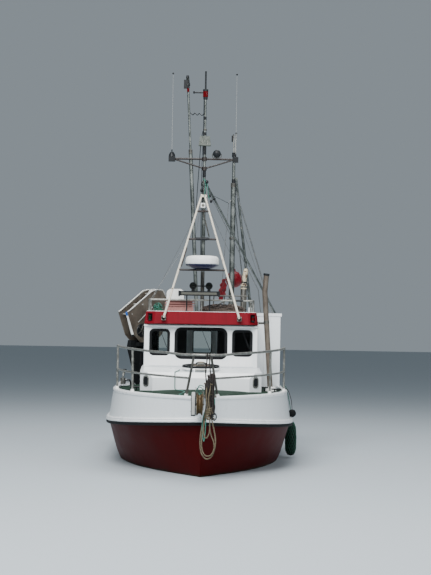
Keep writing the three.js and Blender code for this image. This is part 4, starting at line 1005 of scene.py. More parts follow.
@dataclass(frozen=True)
class HullLines:
    """The hull's lines, by the distance t aft of the stem head."""

    length: float = 9.8
    stem_y: float = -4.9
    gunwale: float = 1.62
    gunwale_top: float = 1.38
    rub: float = 1.72
    bulwark: float = 0.07
    well_start: float = 0.755
    well_wall: float = 0.08
    deck_edge: float = 1.33

    @staticmethod
    def fullness(t: float, run: float, power: float) -> float:
        """How full the boat is at t, where it comes to full breadth over a run."""
        return 1 - (1 - min(t, run) / run) ** power

    def gunwale_half(self, t: float) -> float:
        """Half the breadth at the gunwale."""
        tuck = 0.14 * (max(0.0, t - 8.2) / 1.6) ** 1.5
        return self.gunwale * self.fullness(t, 4.2, 2.5) - tuck

    def gunwale_z(self, t: float) -> float:
        """The gunwale's height."""
        return self.gunwale_top - 0.11 * ease((t - 8.3) / 1.5)

    def rub_half(self, t: float) -> float:
        """Half the breadth at the rubbing strake."""
        return self.rub * self.fullness(t, 4.6, 2.6) - 0.17 * (max(0.0, t - 6.5) / 3.3) ** 2

    def rub_z(self, t: float) -> float:
        """The rubbing strake's height."""
        return 0.78 + 0.19 * max(0.0, 1 - t / 5) ** 2 + 0.04 * (max(0.0, t - 5) / 4.8) ** 2

    def keel_z(self, t: float) -> float:
        """The bottom's height on the centreline."""
        return -0.72 + 0.12 * max(0.0, 1 - t) ** 2 + 0.44 * ease((t - 6) / 3.8)

    def place_y(self, t: float, z: float) -> float:
        """Where station t lies at a height, as the stem rakes."""
        drop = self.gunwale_top - z
        return self.stem_y + t + (0.36 * drop + 0.09 * drop**2) * max(0.0, 1 - t / 3.5) ** 2

    def deck_half(self, t: float) -> float:
        """Half the deck's breadth inside the bulwark."""
        slope = (self.gunwale_half(t + 0.001) - self.gunwale_half(t - 0.001)) / 0.002
        return self.gunwale_half(t) - self.bulwark * math.hypot(1, slope)

    def deck_z(self, x: float, t: float) -> float:
        """The cambered foredeck's height."""
        return self.deck_edge + 0.11 * (self.deck_half(t) ** 2 - x**2) / 1.6**2

    def bottom(self, t: float, steps: int) -> list[Vector]:
        """The section from the keel to the rubbing strake, to port.

        Args:
            t: the station.
            steps: how many spans it has.

        Returns:
            Its points.
        """
        half, keel = self.rub_half(t), self.keel_z(t)
        forward, aft = min(t / 4.5, 1.0), ease((t - 6) / 3.8)
        pull = [
            (0.0, keel),
            (half * lerp(0.15, 0.73, forward), keel + lerp(0.1, 0.05, aft)),
            (half * lerp(0.4, 0.885, forward), lerp(0.15, -0.25, forward) + 0.22 * aft),
            (half, self.rub_z(t)),
        ]
        points = []
        for i in range(steps + 1):
            s = i / steps
            weights = ((1 - s) ** 3, 3 * s * (1 - s) ** 2, 3 * s * s * (1 - s), s**3)
            x, z = (sum(w * p[k] for w, p in zip(weights, pull)) for k in (0, 1))
            points.append(Vector((x, self.place_y(t, z), z)))
        return points

    def half_at(self, t: float, z: float) -> float:
        """Half the hull's breadth at a station and a height below the rubbing strake."""
        line = self.bottom(t, 40)
        for low, high in zip(line, line[1:]):
            if low.z <= z <= high.z:
                return lerp(low.x, high.x, (z - low.z) / (high.z - low.z))
        return line[-1].x

    def stations(self, start: float, end: float, count: int) -> list[float]:
        """Stations from start to end, closer together near the stem."""
        return [lerp(math.sqrt(start), math.sqrt(end), i / count) ** 2 for i in range(count + 1)]

    def rub_line(self, t: float) -> tuple[Vector, Vector]:
        """The rubbing strake's seat to port at t, below 0 ahead of the stem, and the way out from it."""
        inside, z = max(t, 0.0), self.rub_z(max(t, 0.0))
        slope_x = (self.rub_half(inside + 0.001) - self.rub_half(inside)) / 0.001
        slope_y = (self.place_y(inside + 0.001, z) - self.place_y(inside, z)) / 0.001
        beyond = t - inside
        x, y = self.rub_half(inside) + beyond * slope_x, self.place_y(inside, z) + beyond * slope_y
        return Vector((x, y, z)), Vector((slope_y, -slope_x, 0)).normalized()

    def over_gunwale(self, t: float, side: int, z: float, lean: float = 0.0) -> Vector:
        """A place over the gunwale.

        Args:
            t: the station.
            side: 1 to port, -1 to starboard.
            z: its height.
            lean: how far it leans out at the bow.

        Returns:
            The point.
        """
        bowward = max(0.0, 1 - t / 2)
        x = side * (self.gunwale_half(t) - self.bulwark / 2 + lean * bowward)
        return Vector((x, self.stem_y + t - 0.6 * lean * bowward, z))


LINES = HullLines()


def flipped(points: Sequence[Point]) -> list[Vector]:
    """The points across the centreline."""
    return [Vector((-p[0], p[1], p[2])) for p in points]


def on_side(side: int, points: Sequence[Point]) -> list[Vector]:
    """The points to port, or across the centreline for side -1."""
    return list(points) if side > 0 else flipped(points)


# Sub-assemblies


@dataclass
class Assembly:
    """A sub-assembly. Each of its methods named build_ makes some of its pieces."""

    def build(self) -> None:
        """Runs the build methods in the order in which the class lists them."""
        for name in vars(type(self)):
            if name.startswith("build_"):
                getattr(self, name)()


@dataclass
class Hull(Assembly):
    """The moulded hull, its topsides and bulwarks, the rubbing strakes and the decks."""

    skin: float = 0.014
    stations: int = 84
    section_steps: int = 26
    cap_radius: float = 0.022
    strake_proud: float = 0.05
    deck_panel: float = 0.04
    well_floor: float = 0.36
    lining: float = 0.012

    def build_bottom(self) -> None:
        """The painted hull up to the rubbing strake, with its flat transom."""
        shape = Shape(Surface.HULL)
        rings = []
        for t in LINES.stations(0, LINES.length, self.stations):
            port = LINES.bottom(t, self.section_steps)
            rings.append([*flipped(port[1:])[::-1], *port])
        shape.skin(rings, around=False, ends=False)
        mesh = shape.mesh
        mesh.faces.new(list(mesh.verts)[-len(rings[-1]) :])
        bmesh.ops.remove_doubles(mesh, verts=mesh.verts, dist=WELD)
        bmesh.ops.recalc_face_normals(mesh, faces=mesh.faces)
        if max(mesh.faces, key=lambda f: f.calc_center_median().x).normal.x < 0:
            bmesh.ops.reverse_faces(mesh, faces=mesh.faces)
        shape.finish("hull_bottom", replaces=["hull"], wall=self.skin, angle=50)

    def side_section(self, t: float, inner: float, foot: float) -> list[Vector]:
        """The closed section of a topside and its bulwark, to port.

        Args:
            t: the station.
            inner: where its inner face stands.
            foot: how far down the inner face goes.

        Returns:
            Its points, from the rubbing strake up and over.
        """
        top, low, wide, rub = LINES.gunwale_z(t), LINES.rub_z(t), LINES.gunwale_half(t), LINES.rub_half(t)
        inside = max(inner, 0.0)
        low_x = min(inside, LINES.half_at(t, foot) - 0.022) if foot < low else inside
        r = min(self.cap_radius, max(wide - inside, 1e-4) * 0.35)
        outline = [(lerp(rub, wide, s), lerp(low, top, s)) for s in (0, 0.25, 0.5, 0.75, 0.94)]
        outline += [(wide, top - 0.35 * r), (wide - 0.35 * r, top), (inside + 0.5 * r, top)]
        outline += [(inside + 0.1 * r, top - 0.2 * r), (inside, top - r), (low_x, foot)]
        outline.append((min(rub - 0.02, low_x + 0.012), min(foot, low)))
        return [Vector((x, LINES.place_y(t, z), z)) for x, z in outline]

    def build_topsides(self) -> None:
        """The white topsides, the inner faces round the foredeck and the well, and the stern wall."""
        shape = Shape(Surface.GELCOAT)
        split, end = LINES.well_start - LINES.stem_y, LINES.length
        stem, panel = 0.02, LINES.deck_edge - self.deck_panel
        for side in (1, -1):
            fore = [(t, LINES.deck_half(t) if t > stem else 0.0, panel) for t in LINES.stations(0, split, 56)]
            well = LINES.stations(split, end - 0.08, 34)
            aft = [(t, LINES.gunwale_half(t) - LINES.well_wall, self.well_floor) for t in well]
            for run in (fore, aft):
                shape.skin([on_side(side, self.side_section(*row)) for row in run])
            across = sorted((side * 0.952, side * 1.545))
            shape.box((across[0], 0.715, self.well_floor), (across[1], 0.7545, 1.3))
        half, top, low = LINES.gunwale_half(end), LINES.gunwale_z(end), LINES.rub_z(end)
        right = [(LINES.rub_half(end), low), (half, top - 0.01), (half - 0.01, top)]
        shape.prism("y", [(-right[0][0], low), *right, *((-x, z) for x, z in right[:0:-1])], 4.82, 4.9)
        inner = half - LINES.well_wall + 0.02
        shape.box((-inner, 4.82, self.well_floor), (inner, 4.86, low + 0.01))
        names = ["topsides", "bulwark_port", "bulwark_starboard", "transom_wall"]
        shape.finish("topsides_moulding", replaces=names, angle=40)

    def build_caps(self) -> None:
        """The thick white caps along both gunwales."""
        shape = Shape(Surface.CAP)
        for side in (1, -1):
            rings = []
            for t in LINES.stations(0.0, LINES.length - 0.02, 90):
                out, top = LINES.gunwale_half(t), LINES.gunwale_z(t)
                forward = t + LINES.stem_y < LINES.well_start
                inner = max((LINES.deck_half(t) if forward else out - LINES.well_wall) - 0.006, 0.0)
                section = [
                    (out - 0.01, -0.06), (out + 0.01, -0.054), (out + 0.016, -0.03), (out + 0.012, -0.008),
                    (out, 0.003), (inner, 0.003), (inner, -0.03), (min(inner + 0.02, out), -0.034),
                ]
                places = [(max(x, 0.0), LINES.place_y(t, top + z) - 0.004, top + z) for x, z in section]
                rings.append(on_side(side, [Vector(place) for place in places]))
            shape.skin(rings)
        shape.finish("gunwale_caps", angle=50)

    def build_strakes(self) -> None:
        """The rubbing strakes: a tall white moulding in two ridges over a black rubber strip."""
        proud = self.strake_proud
        white = [
            (-0.03, 0.064), (0.022, 0.064), (0.038, 0.058), (0.044, 0.046), (0.038, 0.034), (0.038, 0.028),
            (0.046, 0.024), (proud, 0.014), (proud, 0.0), (0.046, -0.008), (0.036, -0.012), (-0.03, -0.012),
        ]
        black = [(0, -0.012), (0.034, -0.012), (0.046, -0.017), (0.048, -0.046), (0.044, -0.06)]
        black += [(0.03, -0.066), (0, -0.066)]
        for side, name in ((1, "rub_rail_port"), (-1, "rub_rail_starboard")):
            shape = Shape(Surface.CAP)
            for surface, profile in ((Surface.CAP, white), (Surface.RUBBER, black)):
                rings = []
                for t in [-0.055, -0.03, *LINES.stations(0.0004, LINES.length, 110)]:
                    point, out = LINES.rub_line(t)
                    ring = [point + out * (a - 0.002) + Vector((0, 0, b)) for a, b in profile]
                    rings.append(on_side(side, [Vector((max(p.x, 0.0002), p.y, p.z)) for p in ring]))
                shape.use(surface).skin(rings)
            shape.finish(f"{name}_moulding", replaces=[name], angle=50)

    def build_linings(self) -> None:
        """The painted linings of the forecabin, the engine space and the fish hold: open-topped trays."""
        shape, wall = Shape(Surface.GELCOAT), self.lining
        for x, y0, y1, z0, z1 in (
            (0.55, -2.3, -1.152, 0.1, 1.29), (0.45, -0.9, 0.5, -0.35, 0.758), (0.5, 2.0, 3.0, -0.3, 0.358),
        ):
            shape.box((-x - wall, y0 - wall, z0 - wall), (x + wall, y1 + wall, z0))
            for a, b in ((-x - wall, -x), (x, x + wall)):
                shape.box((a, y0 - wall, z0), (b, y1 + wall, z1))
            for a, b in ((y0 - wall, y0), (y1, y1 + wall)):
                shape.box((-x, a, z0), (x, b, z1))
        shape.finish("inner_linings", bevel=0.004)

    def build_dressed(self) -> None:
        """The decks and what is below the water, which keep their CAD shapes."""
        soften("keel", Surface.HULL, 0.012)
        soften("rudder", Surface.HULL, 0.004, "rudder")
        soften("propeller", Surface.BRONZE, 0.0, "screw", angle=40)
        soften("engine", Surface.ENGINE, 0.03)
        dress("propeller_shaft", Surface.BRONZE)
        for node in ("foredeck", "working_deck"):
            dress(node, Surface.DECK)


@dataclass
class Forecabin(Assembly):
    """The low cabin ahead of the wheelhouse, with its round hatch and its two chamfered corners."""

    slope: float = math.atan(0.08 / 1.2)
    hatch_y: float = -1.85
    lid: float = 0.36
    lip_z: float = 1.61
    lip_slope: float = 0.885
    port_z: float = 1.545

    def build_cabin(self) -> None:
        """The moulding, with its sloping lip over the front panel, and a painted highlight of brighter white
        on its upward-facing front faces.
        """
        cabin = Shape(Surface.GELCOAT).copy_node("trunk_cabin")
        parts = [*cabin.mesh.verts, *cabin.mesh.edges, *cabin.mesh.faces]
        way = {"plane_co": (0, -2.4, self.lip_z), "plane_no": (0, -self.lip_slope, 1)}
        cut = bmesh.ops.bisect_plane(cabin.mesh, geom=parts, clear_outer=True, **way)["geom_cut"]
        rim = [part for part in cut if isinstance(part, bmesh.types.BMEdge)]
        bmesh.ops.contextual_create(cabin.mesh, geom=rim)
        # Upward-facing faces at the front get the brighter white: a painted highlight where light falls on
        # them.
        cabin.repaint(Surface.CAP, lambda f: f.normal.z > 0.4 and f.calc_center_median().y < -2.2)
        cabin.finish("cabin_moulding", replaces=["trunk_cabin"], bevel=0.02, angle=28)

    def build_ports(self) -> None:
        """The oval ports in the cabin's chamfers."""
        ports = Shape(Surface.BLACK)
        flat = rounded_rect((-0.075, -0.095), (0.075, 0.095), 0.055)
        rim = [(-0.02, -0.004), (0.006, -0.004), (0.006, 0.008), (-0.004, 0.014), (-0.02, 0.01)]
        for side in (1, -1):
            a, b = Vector((0.875 * side, -2.4, 0)), Vector((1.1 * side, -2.15, 0))
            along = (b - a).normalized()
            out = Vector((along.y * side, -along.x * side, 0)).normalized()
            middle = (a + b) / 2 + Vector((0, 0, self.port_z))
            line = [middle + along * u + Vector((0, 0, v)) for u, v in flat][::side]
            ports.use(Surface.ALUMINIUM).moulding(line, out, rim)
            ports.use(Surface.BLACK).skin([[p + out * depth for p in line] for depth in (-0.004, 0.006)])
        ports.finish("cabin_ports")

    def build_hatch(self) -> None:
        """The round lid: a white rim, a broad dark ring and a stained dome with its knob and handles."""
        r, z = self.lid, 1.70 + (self.hatch_y + 2.4) / 1.2 * 0.08
        place = posed((0, self.hatch_y, z), self.slope, "X") @ Matrix.Translation((0, 0, 0.0303))
        rim = [
            (r - 0.01, 0), (r, 0.006), (r, 0.022), (r - 0.004, 0.033), (r - 0.009, 0.034),
            (r - 0.014, 0.03),
        ]
        ring = [(r - 0.013, 0.03), (r - 0.018, 0.066), (r - 0.08, 0.074), (r - 0.14, 0.07), (r - 0.156, 0.03)]
        dome = [(0.203, 0.0), (0.196, 0.052), (0.15, 0.07), (0.08, 0.079)]
        knob = [(0.1, 0.076), (0.098, 0.1), (0.082, 0.117), (0.06, 0.123)]
        lid = Shape(Surface.CAP)
        for surface, low, profile, high, sides in (
            (Surface.CAP, 0.0, rim, 0.03, 56),
            (Surface.BLACK, 0.028, ring, 0.03, 56),
            (Surface.PLATE, 0.028, dome, 0.08, 44),
            (Surface.BLACK, 0.076, knob, 0.125, 36),
            (Surface.PIPE_CREAM, 0.12, [(0.055, 0.12), (0.045, 0.131)], 0.133, 28),
        ):
            lid.use(surface).turned([(0.0, low), *profile, (0.0, high)], place, sides)
        lid.use(Surface.ALUMINIUM).bar(*(place @ Vector((x, -0.378, 0.0147)) for x in (-0.11, 0.11)), 0.012)
        for x in (-0.07, 0.07):
            lid.prism("z", rectangle((x - 0.02, -0.378), (x + 0.02, -0.31)), 0.008, 0.022, place)
        grip = ((-0.07, 0.06), (-0.07, 0.1), (0.07, 0.1), (0.07, 0.06))
        lid.pipes([[place @ Vector((x, -0.14, up)) for x, up in grip]], 0.009, 0.02)
        heads = [place @ point for point in circle(r - 0.045, 16, 0.068)]
        lid.bolts(heads, 0.006, 0.006, place.to_3x3() @ Vector((0, 0, 1)))
        lid.finish("fore_hatch_lid", "cabin_hatch", ["fore_hatch"])


class Wall(Enum):
    """The wheelhouse walls that have windows, each with the way that it faces."""

    FRONT = (0, -1, 0)
    PORT = (1, 0, 0)
    STARBOARD = (-1, 0, 0)
    BACK = (0, 1, 0)


@dataclass(frozen=True)
class Window:
    """A window: its node, wall, corners across the wall, corner radius, gasket width and body."""

    node: str
    wall: Wall
    low: tuple[float, float]
    high: tuple[float, float]
    radius: float
    gasket: float = 0.026
    body: str = BOAT


@dataclass
class Wheelhouse(Assembly):
    """The wheelhouse: walls, rubber-set windows, door, roof with its painted fascia and the helm."""

    half: float = 1.04
    front_y: float = -1.2
    rake: float = 0.07
    low_z: float = 1.78
    top_z: float = 2.575
    back_y: float = 0.81
    roof_taper: float = 0.967
    seat: tuple[float, float] = (0.45, 0.06)
    wheel: tuple[float, float, float] = (0.45, -0.62, 1.36)
    windows: tuple[Window, ...] = (
        Window("window_front_centre", Wall.FRONT, (-0.47, 1.955), (0.47, 2.49), 0.105, 0.03),
        Window("window_front_port", Wall.FRONT, (0.605, 2.01), (0.945, 2.46), 0.06),
        Window("window_front_starboard", Wall.FRONT, (-0.945, 2.01), (-0.605, 2.46), 0.06),
        Window("window_port", Wall.PORT, (-0.9, 1.985), (-0.06, 2.47), 0.08),
        Window("window_starboard", Wall.STARBOARD, (-0.9, 1.985), (-0.06, 2.47), 0.08),
        Window("window_back", Wall.BACK, (-0.84, 2.0), (-0.5, 2.46), 0.045, 0.02),
        Window("window_door", Wall.BACK, (-0.15, 2.0), (0.235, 2.46), 0.045, 0.02, "door"),
    )

    def on_wall(self, wall: Wall, across: float, z: float, out: float = 0.0) -> Vector:
        """A point on a wall.

        Args:
            wall: which wall.
            across: x on the front and back, y on the sides.
            z: its height.
            out: how far off the wall.

        Returns:
            The point.
        """
        if wall is Wall.FRONT:
            lean = (z - self.low_z) / (self.top_z - self.low_z) * self.rake
            return Vector((across, self.front_y + lean - out, z))
        if wall is Wall.BACK:
            return Vector((across, self.back_y + out, z))
        return Vector(((1 if wall is Wall.PORT else -1) * (self.half + out), across, z))

    def outline(self, window: Window, grow: float = 0.0) -> list[Vector]:
        """A window's outline on its wall, grown outside its hole, anticlockwise as seen from outside."""
        low, high = [v - grow for v in window.low], [v + grow for v in window.high]
        flat = rounded_rect(low, high, window.radius + grow, 7)
        line = [self.on_wall(window.wall, a, z) for a, z in flat]
        return line[::-1] if window.wall in (Wall.STARBOARD, Wall.BACK) else line

    def build_walls(self) -> None:
        """The walls, their inner faces near-black as painted shade, with corner beads, a lip under the roof
        and a panel under the windows.
        """
        for name, inward in (
            ("front", (0, 1, 0)), ("back", (0, -1, 0)),
            ("port_side", (-1, 0, 0)), ("starboard_side", (1, 0, 0)),
        ):
            node = f"wheelhouse_{name}"
            wall = Shape(Surface.GELCOAT).copy_node(node)
            # The inward faces are painted near-black: painted shade inside the wheelhouse.
            wall.repaint(Surface.LINING, lambda f: f.normal.dot(Vector(inward)) > 0.5)
            wall.finish(f"{node}_formed", replaces=[node], bevel=0.006)
        trim = Shape(Surface.CAP)
        heights = (self.low_z, self.top_z - 0.005)
        for side in (1, -1):
            corner = [self.on_wall(Wall.FRONT, self.half * side, z, -0.02) for z in heights]
            trim.bar(*corner, 0.026)
        wide = self.half + 0.012
        lip = [(wide - 0.032, -1.155), (wide, -1.14), (wide, 0.8)]
        lip = [*((-x, y) for x, y in lip[::-1]), *lip]
        trim.pipes([[(x, y, 2.546) for x, y in lip]], 0.024, 0.02, 10)
        apron = [(-0.975, 1.8), (0.975, 1.8), (0.975, 1.968), (0.575, 1.968), (0.535, 1.955), (0.5, 1.905)]
        apron += [(-x, z) for x, z in apron[:1:-1]]
        trim.skin([[self.on_wall(Wall.FRONT, x, z, out) for x, z in apron] for out in (-0.002, 0.012)])
        trim.finish("wheelhouse_trim", bevel=0.004)

    def build_windows(self) -> None:
        """Panes, black gaskets and the moulded gutter under each front window."""
        gaskets = {BOAT: Shape(Surface.RUBBER), "door": Shape(Surface.RUBBER)}
        sills = Shape(Surface.CAP)
        for window in self.windows:
            soften(window.node, Surface.GLASS, 0.0, window.body)
            w = window.gasket
            profile = [(-w, -0.012), (-w, 0.002), (-w + 0.006, 0.009), (0.0, 0.013), (w - 0.004, 0.009)]
            profile += [(w, 0.0), (w, -0.004)]
            gaskets[window.body].moulding(self.outline(window), window.wall.value, profile)
            if window.wall is Wall.FRONT:
                low = [p for p in self.outline(window, w + 0.012) if p.z < window.low[1] + 0.02]
                sills.pipes([sorted(low, key=lambda p: p.x)], 0.009, 0.0, 8)
        gaskets[BOAT].finish("window_gaskets", angle=60)
        gaskets["door"].finish("door_gasket", "door", angle=60)
        sills.finish("window_sills")

    def build_door(self) -> None:
        """The aft door with its hinges and handle."""
        soften("wheelhouse_door", Surface.GELCOAT, 0.005, "door")
        handle = Shape(Surface.ALUMINIUM)
        grip = ((0.85, 1.5), (0.862, 1.5), (0.862, 1.6), (0.85, 1.6))
        handle.pipes([[(0.278, y, z) for y, z in grip]], 0.007, 0.006)
        heads = [(x, 0.8165, z) for z in (1.115, 1.185, 2.215, 2.285) for x in (-0.235, -0.21)]
        handle.bolts(heads, 0.006, 0.004, (0, 1, 0))
        handle.finish("door_fittings", "door")

    def build_roof(self) -> None:
        """The roof, white on top and near-black below as painted shade, with its deep painted fascia and the
        side lights.
        """
        roof = Shape(Surface.FASCIA).copy_node("wheelhouse_roof")
        for vert in roof.mesh.verts:
            if vert.co.z > 2.8:
                vert.co.x *= self.roof_taper
        roof.repaint(Surface.GELCOAT, lambda f: f.normal.z > 0.7 and f.calc_center_median().z > 2.8)
        # The faces underneath are painted near-black: painted shade.
        roof.repaint(Surface.LINING, lambda f: f.normal.z < -0.7)
        roof.finish("wheelhouse_roof_formed", replaces=["wheelhouse_roof"], bevel=0.022)
        plate = ((0.888, -1.242), (0.968, -1.177), (0.978, -1.189), (0.898, -1.254))
        for side, lens, name in ((1, Surface.RED_LENS, "port"), (-1, Surface.GREEN_LENS, "starboard")):
            lamp = Shape(Surface.BLACK).prism("z", [(side * x, y) for x, y in plate], 2.634, 2.762)
            steps = [(side * 0.962, -1.249, 2.635 + up) for up in (0, 0.03, 0.085, 0.105)]
            lamp.bar(steps[0], steps[1], 0.03).bar(steps[2], steps[3], 0.031)
            lamp.use(lens).bar(steps[1], steps[2], 0.027)
            lamp.finish(f"side_light_{name}", bevel=0.002)

    def build_wipers(self) -> None:
        """A wiper on each front window."""
        shape = Shape(Surface.BLACK)
        for x, z, reach in ((0.0, 2.48, 0.34), (0.77, 2.44, 0.26), (-0.77, 2.44, 0.26)):
            pivot = self.on_wall(Wall.FRONT, x, z + 0.035, 0.018)
            tip = self.on_wall(Wall.FRONT, x + reach * 0.45, z - reach, 0.022)
            shape.bar(pivot + Vector((0, 0.03, 0)), pivot, 0.013).pipes([[pivot, tip]], 0.004, 0, 8)
            blade = (tip - pivot).normalized() * 0.14
            shape.pipes([[tip - blade, tip + blade * 0.3]], 0.006, 0, 6)
        shape.finish("window_wipers")

    def build_helm(self) -> None:
        """The console with its screens, and the floor."""
        soften("helm_console", Surface.WOOD, 0.012)
        soften("wheelhouse_floor", Surface.WOOD, 0.0)
        gear = Shape(Surface.BLACK)
        gear.box((0.08, -0.99, 1.641), (0.46, -0.93, 1.9)).box((0.52, -0.98, 1.641), (0.82, -0.9, 1.81))
        gear.use(Surface.GREY_PLASTIC).box((0.08, -1.02, 1.641), (0.9, -1.0, 1.66))
        gear.use(Surface.GLASS).box((0.1, -0.929, 1.665), (0.44, -0.926, 1.885))
        gear.use(Surface.BLACK).post((0.25, -0.84, 1.641), 1.7, 0.05)
        gear.finish("helm_instruments", bevel=0.004)

    def build_wheel(self) -> None:
        """The steering wheel with its three spokes and its hub."""
        middle = Vector(self.wheel)
        x, y, z = self.wheel
        wheel = Shape(Surface.BLACK).hoop(posed(middle, math.pi / 2, "X"), 0.2, 0.0138)
        wheel.use(Surface.ALUMINIUM)
        for a in turns(3):
            a += math.pi / 6
            spoke = Vector((0.195 * math.cos(a), 0, 0.195 * math.sin(a)))
            wheel.bar(middle, middle + spoke, 0.0088, sides=10)
        wheel.bar((x, y - 0.0694, z), (x, y + 0.0098, z), 0.031, 0.024)
        wheel.finish("helm_wheel_formed", "helm_wheel", ["steering_wheel"])

    def build_seat(self) -> None:
        """The seat's post, and its padded cushion and back."""
        x, y = self.seat
        post = Shape(Surface.ALUMINIUM)
        post.post((x, y, 0.8003), 0.815, 0.15, sides=36).post((x, y, 0.81), 1.36, 0.038)
        post.use(Surface.BLACK).box((x - 0.2, y - 0.19, 1.352), (x + 0.2, y + 0.19, 1.37))
        post.box((x - 0.03, y + 0.17, 1.36), (x + 0.03, y + 0.215, 1.6))
        post.finish("helm_seat_post", replaces=["helm_seat"], bevel=0.004)
        self.add_pad("helm_seat_cushion", (x - 0.225, y - 0.215, 1.366), (x + 0.225, y + 0.215, 1.45), 2)
        self.add_pad("helm_seat_back", (x - 0.215, y + 0.142, 1.47), (x + 0.215, y + 0.206, 1.855), 1)

    def add_pad(self, name: str, low: Point, high: Point, thin: int, steps: int = 22) -> None:
        """A stuffed pad with crowned faces, a piped seam round each and sewn channels.

        Args:
            name: the pad's name.
            low: its lowest corner.
            high: its highest corner.
            thin: the axis through its thickness.
            steps: rings on each face.
        """
        a, b = (axis for axis in range(3) if axis != thin)
        middle = [(p + q) / 2 for p, q in zip(low, high)]
        half = (high[thin] - low[thin]) / 2
        flat = rounded_rect((low[a], low[b]), (high[a], high[b]), 0.05, 14)
        shape = Shape(Surface.VINYL)
        rings = []
        for k in [*range(-steps, 0), *range(1, steps + 1)]:
            share = 1 - (abs(k) - 1) / (steps - 0.6)
            ring = []
            for u, v in flat:
                point = [0.0, 0.0, 0.0]
                point[a], point[b] = lerp(middle[a], u, share), lerp(middle[b], v, share)
                across = (point[b] - low[b]) / (high[b] - low[b])
                seam = sum(math.exp(-(((across - line) * 20) ** 2)) for line in (1 / 3, 2 / 3))
                lift = half * (0.6 + 0.4 * (1 - share**5) * (1 - 0.4 * seam))
                point[thin] = middle[thin] + math.copysign(lift, k)
                ring.append(point)
            rings.append(ring)
        shape.skin(rings)
        for ring in (rings[steps - 1], rings[steps]):
            shape.pipes([ring], 0.0035, 0.0, 6, closed=True)
        shape.finish(name, angle=50)


